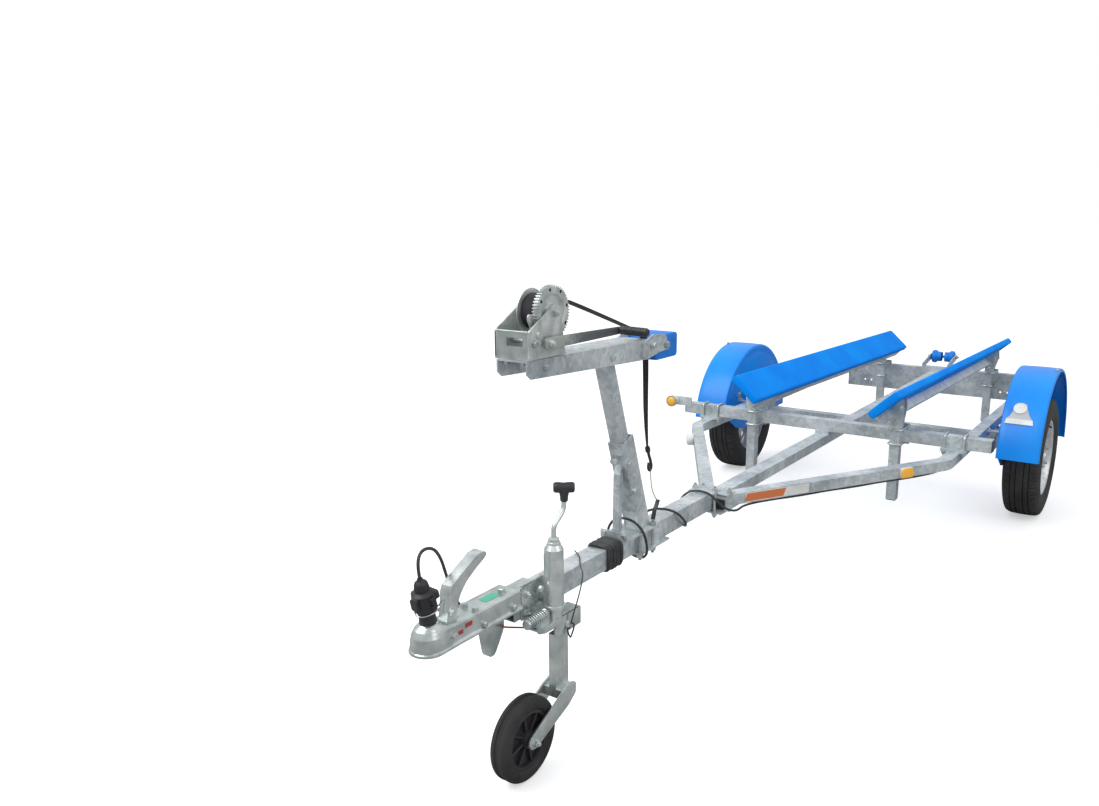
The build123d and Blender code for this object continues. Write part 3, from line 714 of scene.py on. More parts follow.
# Bolts through the uprights and the ears: x, z, size, and the places of the head and the tail.
bolt_rows = [
    (326, 536, 0.9, -790, -740), (313, 498, 0.9, 1138, 1188), (347, 606, 0.8, -790, -740),
    (344, 566, 0.8, 1138, 1188),
]
bunk_bolts = []
for sign in (-1, 1):
    for x, z, size, front, back in bolt_rows:
        bunk_bolts += [(at(x * sign, front, z), AHEAD, size), (at(x * sign, back, z), BEHIND, size)]
bolted("bunk_bolts", BOLT, bunk_bolts, 7)

# Mudguards: pressed from thick blue plastic, a half-round band and a flat inner side in one
# piece.  The outer edge is turned in as a lip, and bolts through the inner side hold them.
guard_plastic = Finish("blue_plastic", (0.0, 0.26, 0.92), 0.28, Specular_IOR_Level=0.4)
wave = guard_plastic.noise(4.0, 2.0)
fine = guard_plastic.noise(160.0)
guard_plastic.tint(wave, (0.3, (0.0, 0.23, 0.84)), (0.7, (0.0, 0.32, 0.98)))
guard_plastic.set("Roughness", 0.24 + fine * 0.14)
guard_plastic.bump(wave * 0.8 + fine * 0.06, 0.12, 0.001)
GUARD_Z = 300.0
GUARD_R = 401.0
GUARD_IN = 651.0
GUARD_OUT = 824.0
GUARD_STEPS = 120


def on_guard(x, angle, rise):
    """A place on the left mudguard: distance across, angle from ahead and height over its face."""
    radius = GUARD_R + rise
    return at(x, -radius * math.cos(angle), GUARD_Z + radius * math.sin(angle))


# The band's section, by distance from its inner or outer side and height: face, lip, underside.
inner_face = [
    (2.0, -58.0), (0.2, -40.0), (0.2, -14.0), (1.5, -7.0), (5.0, -2.2), (11.0, -0.3), (30.0, 0.0),
    (60.0, 0.6), (87.0, 0.8),
]
lip = [
    (60.0, 0.6), (30.0, 0.0), (12.0, -0.4), (5.0, -2.2), (1.4, -6.5), (0.0, -12.0), (0.6, -16.0),
    (3.2, -17.0), (4.0, -14.0), (6.0, -8.0), (13.0, -3.9), (31.0, -3.2),
]
underside = [
    (87.0, -2.4), (30.0, -3.0), (12.0, -3.6), (6.0, -7.0), (3.4, -14.0), (3.2, -40.0), (3.4, -58.0),
]
guard_section = [(GUARD_IN + reach, rise) for reach, rise in inner_face]
guard_section += [(GUARD_OUT - reach, rise) for reach, rise in lip]
guard_section += [(GUARD_IN + reach, rise) for reach, rise in underside]
guard_start = math.asin((343.0 - GUARD_Z) / GUARD_R)
guard_rows = []
for step in range(GUARD_STEPS + 1):
    angle = guard_start + (math.pi - guard_start) * step / GUARD_STEPS
    guard_rows.append([on_guard(x, angle, rise - 0.8) for x, rise in guard_section])
guard_parts = [skin(guard_rows, ends=True)]
side_outline = []
inner_r = GUARD_R - 40.0
for step in range(61):
    angle = math.radians(172.6 * step / 60)
    side_outline.append((inner_r * math.cos(angle), GUARD_Z + inner_r * math.sin(angle)))
side_outline += [(-355, 343), (-250, 276), (-54, 232), (-34, 232), (-34, 315), (34, 315)]
side_outline += [(34, 232), (54, 232), (250, 276), (340, 302)]
guard_parts.append(slab(side_outline, GUARD_IN + 0.2, GUARD_IN + 3.0, soft=0.6))
rib_centre = at(GUARD_IN + 1.6, 0, GUARD_Z)
for angle in (30, 58, 90, 122, 150):
    way = about(math.radians(angle))
    start = rib_centre + way * 0.19
    stop = rib_centre + way * 0.352
    rib = [start, start * 0.5 + stop * 0.5, stop]
    guard_parts.append(swept(rib, bar(9, 5.2, 1.2), way.cross(ACROSS)))
guards = mirrored(merged(*guard_parts))
piece("moulded_guards", guards, guard_plastic, stands_for=["mudguards"])
top = math.radians(96)
guard_bolts = []
for sign in (-1, 1):
    for y in (-225, 225):
        guard_bolts.append((at((GUARD_IN - 5) * sign, y, 457), (-sign, 0, 0), 0.8))
        guard_bolts.append((at((GUARD_IN + 3) * sign, y, 457), (sign, 0, 0), 0.8))
    spot = at((GUARD_OUT - 14) * sign, 402 * math.cos(top), GUARD_Z + 400 * math.sin(top))
    guard_bolts.append((spot, (0.3 * sign, math.cos(top), math.sin(top)), 1.0))
bolted("guard_bolts", SMALL_BOLT, guard_bolts, 9)

# Road wheels: black tyres with four grooves and cut shoulders, on silver steel rims with a row
# of round holes, four nuts and a pressed dust cap.
tyre_rubber = Finish("tyre_rubber", (0.020, 0.020, 0.021), 0.75)
dust = tyre_rubber.noise(12.0, 5.0)
grit = tyre_rubber.noise(300.0, 2.0)
tyre_tone = dust * 0.75 + grit * 0.25
tyre_rubber.tint(tyre_tone, (0.35, (0.012, 0.012, 0.013)), (0.75, (0.060, 0.057, 0.054)))
tyre_rubber.set("Roughness", 0.55 + dust * 0.35)
tyre_rubber.bump(dust * 0.5 + grit * 0.3, 0.3, 0.001)
WHEEL_X = 737.0
WHEEL_R = 280.0
TREAD_STEPS = 384
half_tyre = [
    (48, 172), (56, 170), (62, 172), (66, 177), (70, 184), (71.5, 190), (70.5, 192), (74, 198),
    (76.8, 210), (77.4, 222), (77.0, 232), (75.8, 242), (74.0, 250), (73.4, 252), (72.4, 253),
    (71.4, 259), (69.0, 265), (66.0, 269.6), (62.0, 272.6), (58.0, 274.6), (54.0, 276.2),
    (50.0, 277.3), (46.0, 278.1),
]
for along in (42, 40.2, 39.4, 36.6, 35.8, 30, 25, 20, 18.4, 17.6, 14.4, 13.6, 9, 4.5, 0):
    half_tyre.append((along, WHEEL_R - 1.9 * (along / 46) ** 2))


def tread(along, radius, step):
    """How deep the tread is cut at a place on the tyre."""
    across = abs(along)
    if 36.4 < across < 39.6 or 14.2 < across < 17.8:
        return 6.0
    side = 4 if along > 0 else 0
    if across > 45 and radius > 262:
        return 4.0 if (step + side) % 8 < 2 else 0.0
    if radius < 262:
        return 0.6 if 244 < radius < 252 and (step + side) % 8 < 4 else 0.0
    if 18 < across < 36:
        return 2.2 if (step + side + int(across / 5)) % 12 < 1 else 0.0
    return 0.0


wheels = []
for side_name, sign, across in (("left", 1, LEFT), ("right", -1, RIGHT)):
    wheels.append((side_name, sign, across, at(WHEEL_X * sign, 0, WHEEL_R), "wheel_" + side_name))
for side_name, sign, across, hub, wheel in wheels:
    tyre = "tyre_" + side_name
    tyre_mesh = turned(hub, doubled(half_tyre), across, TREAD_STEPS, carve=tread)
    piece(tyre + "_tread", tyre_mesh, tyre_rubber, wheel, [tyre])

rim_paint = Finish("silver_rim", (0.66, 0.68, 0.70), 0.32, 0.55)
dapple = rim_paint.noise(50.0)
rim_paint.tint(dapple, (0.3, (0.56, 0.59, 0.61)), (0.7, (0.80, 0.82, 0.83)))
rim_paint.set("Roughness", 0.24 + dapple * 0.18)


def holed_disc(centre, way, profile, radii, holes, hole_radius, sectors):
    """A dished disc with a row of round holes.  The profile gives the dish at each radius."""
    lean = Vector(UP).rotation_difference(Vector(way))
    middle = sum(radii) / 2
    depth = (radii[1] - radii[0]) / 2
    half = math.pi / holes
    work = bmesh.new()
    spots = {}
    rings = 7

    def vertex(hole, level, place):
        """A point between the hole's rim at level 0 and its sector's border at the last level."""
        corner = math.tau * place / sectors
        u, v = math.cos(corner), math.sin(corner)
        reach = max(abs(u), abs(v))
        share = (level / rings) ** 1.3
        turn = hole * 2 * half + hole_radius * u / middle * (1 - share) + half * u / reach * share
        radius = middle + hole_radius * v * (1 - share) + depth * v / reach * share
        along = float(np.interp(radius, [r for r, _ in profile], [a for _, a in profile]))
        key = (hole, level, place % sectors)
        if key not in spots:
            spot = Vector((radius * math.cos(turn), radius * math.sin(turn), along))
            spots[key] = work.verts.new(centre + lean @ spot * MM)
        return spots[key]

    for hole in range(holes):
        for level in range(rings):
            for place in range(sectors):
                corners = ((0, 0), (0, 1), (1, 1), (1, 0))
                work.faces.new([vertex(hole, level + a, place + b) for a, b in corners])
    bmesh.ops.remove_doubles(work, verts=work.verts, dist=2e-5)
    bmesh.ops.recalc_face_normals(work, faces=work.faces)
    bmesh.ops.solidify(work, geom=work.faces[:], thickness=0.0028)
    return settled(worked(work, "disc"))


barrel = [
    (-60, 169), (-63, 174), (-61, 177), (-57, 176.5), (-55, 171), (-50, 169.6), (-46, 166),
    (-20, 160), (10, 158), (36, 160), (48, 166), (52, 169.6), (57, 171), (59, 176.5), (63, 177),
    (65, 174), (62, 168), (57, 165.4), (51, 163), (38, 157), (10, 155), (-20, 157), (-47, 163),
    (-52, 167),
]
dish = [
    (34, 50), (48, 50), (60, 46), (78, 40), (92, 34), (104, 26), (118, 22), (140, 24), (152, 28),
    (157, 31),
]
plate_face = [
    (34, 36), (48, 36), (50, 40), (50, 48), (46, 60), (40, 78), (34, 92), (26, 103), (23.6, 109),
]
plate_back = [(along - 3, radius) for along, radius in reversed(plate_face[2:])]
hub_body = [
    (-38, 16), (-38, 31), (-34, 34), (20, 38), (46, 38), (49, 36), (50, 33), (52, 32), (60, 31),
    (64, 28), (66, 22), (66.5, 10), (66.5, 0),
]
valve = plugged((0, 3.2), (6, 3.2), (8, 2.6), (20, 2.6), (21, 4), (30, 4), (32, 2))
for side_name, sign, across, hub, wheel in wheels:
    parts = [turned(hub, barrel, across, 128, closed=True)]
    parts.append(holed_disc(hub, across, dish, (108.0, 157.0), 12, 14.5, 32))
    parts.append(turned(hub, plate_face + plate_back + [(34, 42)], across, 96, closed=True))
    parts.append(turned(hub, hub_body, across, 64))
    rim = "rim_" + side_name
    piece(rim + "_pressed", merged(*parts), rim_paint, wheel, [rim])
    wheel_nuts = []
    for count in range(4):
        arm = about(math.tau * (count + 0.5) / 4, 50)
        wheel_nuts.append((hub + (ACROSS * 48 * sign + arm) * MM, across, 1.0))
    bolted("wheel_nuts_" + side_name, NUT, wheel_nuts, 11, wheel)
    stem = turned(hub + Vector((48 * sign, 0, 162)) * MM, valve, (0.8 * sign, 0, -0.6), 16)
    piece("tyre_valve_" + side_name, stem, tyre_rubber, wheel)

# Coupling: one sheet of steel pressed into a channel with a domed head over the ball, flanged
# along its lower edge and bolted to the drawbar.  The bent handle releases the ball.
dress(zinc, "coupling_body", "coupling_lever", "guard_foot", "jockey_mount", "jockey_tube")
dress(zinc, "jockey_crank", "jockey_slide", "jockey_leg")
dress(zinc, "winch_frame", "winch_drum", "winch_crank")
BALL_Y = -3256.0
FLANGE_Z = 434.0
DOME_RISE = 71.0
CHANNEL = [
    (43.4, FLANGE_Z), (43.6, 438.4), (42.0, 440.4), (38.8, 442.2), (37.2, 446.0), (36.8, 452.0),
    (36.8, 459.0), (36.8, 466.0), (36.8, 472.0), (36.4, 476.0), (35.0, 479.0), (32.6, 481.0),
    (29.0, 482.0), (24.0, 482.2), (18.0, 482.2), (12.0, 482.0), (6.0, 481.4), (0.0, 481.2),
]


def dome_arch(ahead):
    """The head's half section at a distance ahead of the ball: a flange, a neck and a dome."""
    flange = math.sqrt(max(44.6**2 - ahead**2, 0.04))
    side = math.sqrt(max(41.6**2 - ahead**2, 0.01))
    top = FLANGE_Z + DOME_RISE * math.sqrt(max(1.0 - (ahead / 44.0) ** 2, 0.02))
    arch = [(flange, FLANGE_Z), (flange, 438.4), (max(flange - 1.6, side), 440.2)]
    for step in range(15):
        turn = math.pi / 2 * step / 14
        arch.append((side * math.cos(turn) ** 0.8, 441.5 + (top - 441.5) * math.sin(turn) ** 0.9))
    return arch


# The pressed skin's stations along the coupling, by distance ahead of the ball.  Each is an arch.
stations = [44.5, 43.6, 41.5, 38, 33, 27, 20, 13, 6, 0, -10, -20, -29, -37, -44, -51, -58, -66, -74]
shell_rows = []
for ahead in stations + [-110, -190, -295]:
    share = min(max((-ahead - 8.0) / 62.0, 0.0), 1.0)
    ease = share * share * (3 - 2 * share)
    arch = []
    for (u, v), (channel_u, channel_v) in zip(dome_arch(max(ahead, 0.0)), CHANNEL):
        arch.append((u * (1 - ease) + channel_u * ease, v * (1 - ease) + channel_v * ease))
    arch += [(-u, v) for u, v in reversed(arch[:-1])]
    shell_rows.append([at(u, BALL_Y - ahead, v) for u, v in arch])
piece("coupling_shell", settled(skin(shell_rows, around=False), 50.0), zinc)
lever_side = [
    (52, 481), (58, 520), (61, 552), (67, 568), (100, 587), (160, 618), (182, 620), (191, 612),
    (187, 602), (154, 585), (122, 565), (99, 541), (89, 520), (85, 503), (84, 481),
]
lever_line = rounded([(BALL_Y + y, z) for y, z in lever_side], 10)
lever_parts = [slab(lever_line, x, x + 3.0, soft=0.7) for x in (-15.5, 12.5)]
lever_spine = [
    (52.0, 483), (58.2, 520), (61.0, 552), (67.5, 568), (100, 586.5), (160, 617.5), (188, 616),
]
lever_parts.append(swept([at(0, BALL_Y + y, z) for y, z in lever_spine], bar(30.5, 3.4, 1.4)))
lever_parts.append(swept([at(x, BALL_Y + 184, 611) for x in (-16, 16)], ring(8.0, 20), UP))
piece("coupling_handle", merged(*lever_parts), zinc, stands_for=["coupling_lever"])
foot_line = [
    (-3088, 475), (-2998, 475), (-2998, 390), (-3012, 366), (-3034, 334), (-3044, 330),
    (-3054, 332), (-3060, 340),
]
foot = slab(rounded(foot_line, 9), -12.5, 12.5, soft=3.0)
piece("coupling_guard", foot, zinc, stands_for=["guard_foot"])
coupling_bolts = []
for sign in (-1, 1):
    for y, z, size in ((-2990, 451, 0.9), (-3102, 448, 0.8), (-3208, 462, 0.9)):
        coupling_bolts.append((at(36.6 * sign, y, z), (sign, 0, 0), size))
    coupling_bolts.append((at(18 * sign, -3112, 481.4), UP, 0.9))
coupling_bolts.append((at(0, -2992, 481.4), UP, 1.05))
coupling_bolts += [(at(16 * sign, BALL_Y + 64, 507), (sign, 0, 0), 0.8) for sign in (1, -1)]
bolted("coupling_bolts", BOLT, coupling_bolts, 13)

# Plug: a moulded black connector with grip ribs, two lugs and a bent rubber boot, parked on the
# head of the coupling and held there by a thin wire clip.
black_plastic = Finish("black_plastic", (0.022, 0.022, 0.024), 0.42)
grain = black_plastic.noise(240.0, 2.0)
wear = black_plastic.noise(9.0)
black_plastic.tint(wear, (0.35, (0.016, 0.016, 0.018)), (0.7, (0.036, 0.036, 0.040)))
black_plastic.set("Roughness", 0.34 + grain * 0.2)
black_plastic.bump(grain, 0.25, 0.0004)
plug_section = [
    (2, 0), (2, 20.5), (4, 21.2), (18, 19.6), (24, 19.2), (30, 21), (35, 23.6), (39, 26.4),
    (41, 27.6), (44, 28), (47, 27.4), (49, 27.4), (76, 27.4), (79.5, 26.8), (81, 25), (84, 19.5),
    (86, 17.4), (88, 17.6), (92, 18.2), (95, 17.6), (98, 16.8), (103, 16.2), (107, 14.2),
    (110, 10.6), (113, 7.6), (117.6, 6.4), (117.8, 4.4), (117.8, 0),
]


def plug_ribs(along, radius, step):
    """Grip grooves down the plug's body."""
    if 48 < along < 77:
        return 1.5 if step % 6 < 2 else 0.0
    if 86 < along < 100:
        return 1.0 if step % 8 < 2 else 0.0
    return 0.0


plug_parts = [turned(at(*PLUG_FOOT), plug_section, PLUG_WAY, 96, carve=plug_ribs)]
for sign in (-1, 1):
    for low, high, reach in ((58, 75, 34.5), (40, 56, 31.0)):
        start = at(*on_plug((low + high) / 2)) + ACROSS * 24 * sign * MM
        stop = start + ACROSS * (reach - 24) * sign * MM
        plug_parts.append(swept([start, stop], bar(13, high - low, 3.0), PLUG_WAY.cross(ACROSS)))
key = at(*on_plug(60)) + Vector((0, -24 * MM, 0))
plug_parts.append(swept([key, key + Vector((0, -9 * MM, -2 * MM))], bar(20, 30, 4.0)))
hinge = at(*on_plug(66)) + Vector((4 * MM, 24 * MM, 0))
plug_parts.append(swept([hinge, hinge + Vector((0, 10 * MM, 2 * MM))], bar(24, 22, 4.0)))
piece("plug_moulding", merged(*plug_parts), black_plastic, stands_for=["plug"])
clip_path = []
for angle in np.linspace(-2.5, 1.25, 22):
    u, v = math.cos(angle), math.sin(angle)
    clip_path.append(tuple(Vector(on_plug(30)) + Vector((26 * u, 26 * v, 3 * v + 4 * u**2))))
clip_hook = ((20, 26, 545), (24, 34, 556), (17, 42, 544), (15, 40, 516))
clip_path += [(x, BALL_Y + back, z) for x, back, z in clip_hook]
piece("plug_clip", swept(eased(clip_path, 5, 3), ring(1.7, 10), (0.2, 0.3, 0.9)), zinc)

# Jockey wheel: a clamp on the drawbar holds a round steel tube.  A crank on top winds the inner
# tube, and a sprung pin locks the leg that folds back under the drawbar.
JACK_X = 75.0
JACK_Y = -2871.0
JOCKEY_Y = -3007.0
JOCKEY_R = 110.0
JOCKEY_AT = at(JACK_X, JOCKEY_Y, JOCKEY_R)
tube_section = [
    (419, 22.2), (417, 23.5), (416.6, 27), (418, 29.4), (423, 29.4), (425, 28.4), (426, 25.6),
    (430, 25.2), (566, 25.2), (570, 24.8), (575, 23.4), (580, 20.4), (583, 17.2), (584.6, 16.2),
    (587, 15.8), (588, 17.6), (592, 17.8), (594, 17.2), (595, 14.6), (597, 14.2), (603, 14.2),
    (604.4, 13.4), (604.6, 8), (604.6, 0),
]
outer_tube = turned(at(JACK_X, JACK_Y, 0), tube_section, UP, 72)
seam = swept([at(JACK_X - 18, JACK_Y - 18, z) for z in (430, 562)], ring(1.3, 8))
piece("jockey_outer_tube", merged(outer_tube, seam), zinc)
crank_bends = [(JACK_X, JACK_Y + back, z) for back, z in ((0, 604), (0, 636), (44, 668), (46, 716))]
crank_bar = swept(eased(crank_bends, 15, 8), ring(6.6, 20))
piece("jockey_crank_bar", crank_bar, zinc, stands_for=["jockey_crank"])
grip_start = at(JACK_X - 22, JACK_Y + 29, 727)
grip_way = (at(JACK_X + 22, JACK_Y + 63, 727) - grip_start).normalized()
grip_line = [
    (0, 0), (0, 9), (1.5, 12), (5, 13.8), (14, 14.1), (27, 12.6), (41, 14.1), (50.5, 13.8),
    (54, 12), (55.6, 9), (55.6, 0),
]
collar = plugged((0, 8.6), (2, 10), (14, 11), (26, 13.4), (32, 13.6), (38, 12))
grip_parts = [turned(grip_start, grip_line, grip_way, 40)]
grip_parts.append(turned(at(JACK_X, JACK_Y + 46, 690), collar, UP, 32))
top_grip = merged(*grip_parts)
piece("jockey_top_grip", top_grip, black_plastic, stands_for=["jockey_grip"])
clamp_face = [(-2958, 400), (-2864, 400), (-2864, 492), (-2886, 492), (-2902, 493), (-2958, 478)]
piece("jockey_clamp_plate", slab(rounded(clamp_face, 7), 30.4, 36.6, soft=1.0), zinc)
mount_bolts = [(at(36.6, -2940, z), LEFT, 0.9) for z in (466, 414)]
mount_bolts += [(at(-36.4, y, 440), RIGHT, 1.0) for y in (-2940, -2880)]
bolted("mount_bolts", NUT, mount_bolts, 15)
long_bolts = [
    swept([at(x, -2914, 478) for x in (36, 66)], ring(5)),
    swept([at(x, -2838, 452) for x in (30, 54)], ring(4.5)),
    turned(at(62, -2914, 478), plugged((0, 9), (7, 9), (8, 7)), LEFT, 6),
    turned(at(30, -2838, 452), plugged((0, 8.6), (7, 8.6)), LEFT, 6),
]
piece("mount_studs", merged(*long_bolts), zinc)

lock_face = [
    (-2893, 392), (-2893, 360), (-2884, 346), (-2866, 343), (-2800, 343), (-2784, 356),
    (-2784, 392),
]
lock_lug = [(-2966, 392.6), (-2892, 392.6), (-2892, 372), (-2936, 374), (-2966, 382)]
slide_parts = []
for side in (-1, 1):
    inner, outer = JACK_X + side * 16.6, JACK_X + side * 21.6
    slide_parts.append(slab(rounded(lock_face, 8), inner, outer, soft=0.9))
    slide_parts.append(slab(rounded(lock_lug, 5, 3), inner, outer, soft=0.9))
SPRING_CUTS = 12
SPRING_FRONT, SPRING_LENGTH = -2986, 74
spring_ring = ring(13.2, SPRING_CUTS)
spring_steps = SPRING_CUTS * 9
spring_path = []
for step in range(spring_steps + 1):
    u, v = spring_ring[step % SPRING_CUTS]
    along = SPRING_FRONT + SPRING_LENGTH * step / spring_steps
    spring_path.append(at(JACK_X + u, along, 410 + v))
slide_parts.append(swept(spring_path, ring(1.5, 8)))
spring_cup = plugged((0, 12), (2, 13.2), (5, 13.2), (6, 11))
slide_parts.append(turned(at(JACK_X, -2989, 410), spring_cup, BEHIND, 24))
piece("jockey_lock", merged(*slide_parts), zinc, "jack_slide")
pin_head = plugged((0, 10), (4, 10), (5, 8.6))
pin_parts = []
for way in (LEFT, RIGHT):
    pin_parts.append(turned(at(JACK_X + 22 * way[0], -2844, 365), pin_head, way, 24))
piece("fold_pin_heads", merged(*pin_parts), zinc, "jack_slide")
fork_arm = [
    (-2884, 192), (-2846, 204), (-2826, 196), (-2827, 166), (-2860, 144), (-2993, 93), (-3004, 91),
    (-3018, 93), (-3027, 103), (-3028, 114), (-3020, 126),
]
leg_parts = []
for side in (-1, 1):
    inner, outer = JACK_X + side * 30.4, JACK_X + side * 36.6
    leg_parts.append(slab(rounded(fork_arm, 6, 3), inner, outer, soft=1.0))
leg_parts.append(swept([at(JACK_X, -2855, 342), at(JACK_X, -2855, 172)], bar(23.4, 57.4, 4.0)))
piece("jockey_leg_skin", merged(*leg_parts), zinc, "jack_leg")
axle_nuts = []
for way in (RIGHT, LEFT):
    axle_nuts.append((at(JACK_X + 36.6 * way[0], JOCKEY_Y, JOCKEY_R), way, 1.0))
bolted("jockey_axle_nuts", NUT, axle_nuts, 17, "jack_leg")
jockey_half = [
    (19, 76), (21, 79), (24, 82), (25.2, 86), (25.4, 92), (24.8, 98), (23.4, 102), (21.4, 105),
    (19, 107.6), (16, 109.4), (12.5, 110.2), (9, 110.3), (7.2, 109.4), (6.2, 106.8), (4.4, 105.8),
    (0, 105.6),
]
jockey_tyre = turned(JOCKEY_AT, doubled(jockey_half), LEFT, 144)
piece("jockey_tyre_solid", jockey_tyre, tyre_rubber, "jockey_wheel", ["jockey_tyre"])
hub_half = [
    (19.4, 76.4), (20.2, 74), (19.4, 69), (16, 67.4), (6, 66), (4.4, 62), (4.0, 30), (5, 24),
    (24, 20.6), (25, 18), (25, 8.4),
]
hub_parts = [turned(JOCKEY_AT, doubled(hub_half), LEFT, 96)]
for count in range(8):
    way = about(math.tau * (count + 0.25) / 8)
    spoke = [JOCKEY_AT + way * 0.019, JOCKEY_AT + way * 0.0675]
    hub_parts.append(swept(spoke, bar(5, 32, 1.2), way.cross(ACROSS)))
hub_mesh = merged(*hub_parts)
piece("jockey_hub_spoked", hub_mesh, black_plastic, "jockey_wheel", ["jockey_hub"])
ring_path = []
for angle in np.linspace(0, math.tau, 25):
    bow = Vector((2.5 * math.sin(2 * angle), 13 * math.cos(angle), 19 * math.sin(angle)))
    ring_path.append(at(*(Vector((JACK_X + 27, -2836, 345)) + bow)))
pull_ring = swept(ring_path, ring(2.2, 8))
piece("fold_pin_ring", pull_ring, black_plastic, "jack_slide")

# Winch post: a square tube on a foot plate, with a thinner tube that slides in it, and on top a
# folded table for the winch with a blue rubber stop for the bow between two plates.
side_bolts = [
    (53, -2350, 1034, 1.1), (53, -2274, 1028, 1.1), (48, -2560, 1024, 0.9), (25, -2405, 600, 0.9),
    (25, -2436, 690, 0.9),
]
post_bolts = []
for sign in (-1, 1):
    post_bolts += [(at(x * sign, y, z), (sign, 0, 0), size) for x, y, z, size in side_bolts]
post_bolts += [(at(x, -2470, 477), AHEAD, 0.8) for x in (-34, 34)]
post_bolts.append((at(0, -2462, 700), AHEAD, 0.9))
bolted("post_bolts", BOLT, post_bolts, 19)
blue_rubber = Finish("blue_rubber", (0.0, 0.20, 0.80), 0.42, Specular_IOR_Level=0.4)
mark = blue_rubber.noise(22.0, 4.0)
blue_rubber.tint(mark, (0.3, (0.0, 0.16, 0.66)), (0.7, (0.0, 0.25, 0.84)))
blue_rubber.set("Roughness", 0.36 + mark * 0.2)
stop_line = rounded([(-2323, 1058), (-2191, 1058), (-2191, 984), (-2323, 984)], 14, 6)
stop_body = slab(stop_line, -46.6, 46.6, soft=3.5)
stop_pin = swept([at(-57, -2274, 1028), at(57, -2274, 1028)], ring(6, 16), UP)
piece("bow_stop_block", stop_body, blue_rubber, stands_for=["bow_stop"])
piece("bow_stop_pin", stop_pin, zinc)
keel_half = [
    (10, 30.6), (30, 30.8), (34, 32), (41, 39), (44, 40.2), (57, 40.2), (60, 39.2), (64.6, 34.4),
    (65, 32), (65, 9), (62, 8.1),
]
keel_mesh = turned(at(0, 1391, 505), doubled(keel_half), LEFT, 72)
piece("keel_roller_moulding", keel_mesh, blue_rubber, "roller", ["keel_roller"])

# Winch: a folded steel frame with a strap drum, a large spur gear with punched teeth and a small
# pinion on the crank's shaft.  The plated crank carries a black moulded grip.
WINCH_Y = -2822.0
WINCH_Z = 1173.0
WINCH_AT = at(0, WINCH_Y, WINCH_Z)
PINION_Y, PINION_Z = -2861, 1101
TEETH = 52
TOOTH = (0.0, 0.0, 0.0, 1.0, 1.0, 1.0)
winch_plate = Finish("winch_zinc", (0.70, 0.72, 0.70), 0.34, 0.6)
film = winch_plate.noise(30.0, 5.0)
winch_plate.tint(film, (0.32, (0.44, 0.48, 0.47)), (0.68, (0.74, 0.78, 0.75)))
winch_plate.set("Roughness", 0.26 + film * 0.24)
winch_plate.bump(film, 0.16, 0.0008)
# The gear's dished face, from the back of its rim over the teeth to the hub.
gear_line = [
    (28, 20), (28, 60.5), (29.4, 67.8), (44.6, 67.6), (45, 63), (45, 49), (43.6, 46.2),
    (38.6, 43.6), (36.9, 41), (36.9, 25), (38.6, 21.6), (44.4, 19.4), (45.2, 17), (45.2, 0),
]
gear_rows = []
for step in range(TEETH * len(TOOTH)):
    angle = math.tau * step / (TEETH * len(TOOTH))
    tip = 68.4 - 5.6 * TOOTH[step % len(TOOTH)]
    row = []
    for along, radius in gear_line:
        row.append(WINCH_AT + (ACROSS * along + about(angle, tip if radius > 67 else radius)) * MM)
    gear_rows.append(row)
drum_parts = [skin(gear_rows, around=False, joined=True)]
far_flange = [
    (-28.6, 20), (-28.6, 54), (-28, 57), (-26.4, 58.4), (-24.4, 58), (-24, 56), (-24.2, 50),
    (-23.6, 22),
]
bush = [(-54, 10), (-52, 14), (-29, 14), (-29, 10)]
sleeve = [(-24, 20), (-24, 22), (30, 22), (30, 20)]
for line, turns in ((far_flange, 96), (bush, 32), (sleeve, 48)):
    drum_parts.append(turned(WINCH_AT, line, LEFT, turns, closed=True))
piece("winch_drum_gear", merged(*drum_parts), winch_plate, stands_for=["winch_drum"])
# Painted shade: black dimples on the gear's face stand in for the shade seen through its holes.
DIMPLE = turned(ORIGIN, [(0.35, 0), (0.35, 3.6), (0.0, 4.6), (-0.6, 4.8), (-0.6, 0)], UP, 20)
hole_shade_black = Finish("shadow_hole", (0.012, 0.012, 0.012), 0.9)
hole_shade_black.set("Roughness", 0.8 + hole_shade_black.noise(60.0) * 0.2)
dimples = []
for count in range(8):
    spot = WINCH_AT + (ACROSS * 44.9 + about(math.tau * (count + 0.3) / 8, 58)) * MM
    dimples.append((spot, LEFT, 1.0))
piece("gear_holes", repeated(DIMPLE, dimples, hole_shade_black, 21), hole_shade_black)
cheek_line = [
    (-2928, 1064.6), (-2778, 1064.6), (-2788, 1110), (-2797, 1180), (-2806, 1190), (-2822, 1194),
    (-2836, 1188), (-2928, 1136),
]
near_cheek = slab(rounded(cheek_line, 6), 45.8, 50.2)
far_cheek = slab(rounded(cheek_line, 6), -58.2, -53.8)
front_fold = swept([at(-54, -2926, 1134), at(46, -2926, 1134)], bar(7, 4.4, 1.2), BEHIND)
near_bend = swept([at(48, -2927.6, 1070), at(48, -2927.6, 1134)], bar(5.4, 3.6, 1.2))
cheeks = merged(near_cheek, far_cheek, front_fold, near_bend)
piece("winch_cheeks", cheeks, winch_plate)
shaft_nut = plugged((0, 12), (1.6, 12), (1.6, 9.4), (8.6, 9.4), (9.4, 8))
shaft_end = plugged((0, 5.4), (5, 5.4), (6, 4.4))
pinion_line = [
    (-50, 0), (-50, 6.5), (34, 6.5), (34.2, 12), (45.4, 12), (45.6, 6.5), (50.6, 6.5), (50.6, 12.4),
    (53, 12.4), (53, 10.4), (58, 10.4),
]
pinion_nut = plugged((0, 12.6), (1.8, 12.6), (1.8, 10), (8, 10), (9, 8.4))
pinion_end = plugged((0, 6), (5.4, 6), (6.2, 5))
pawl = [
    (-2900, 1098), (-2884, 1098), (-2880, 1140), (-2888, 1168), (-2898, 1176), (-2908, 1172),
    (-2908, 1160), (-2898, 1140),
]
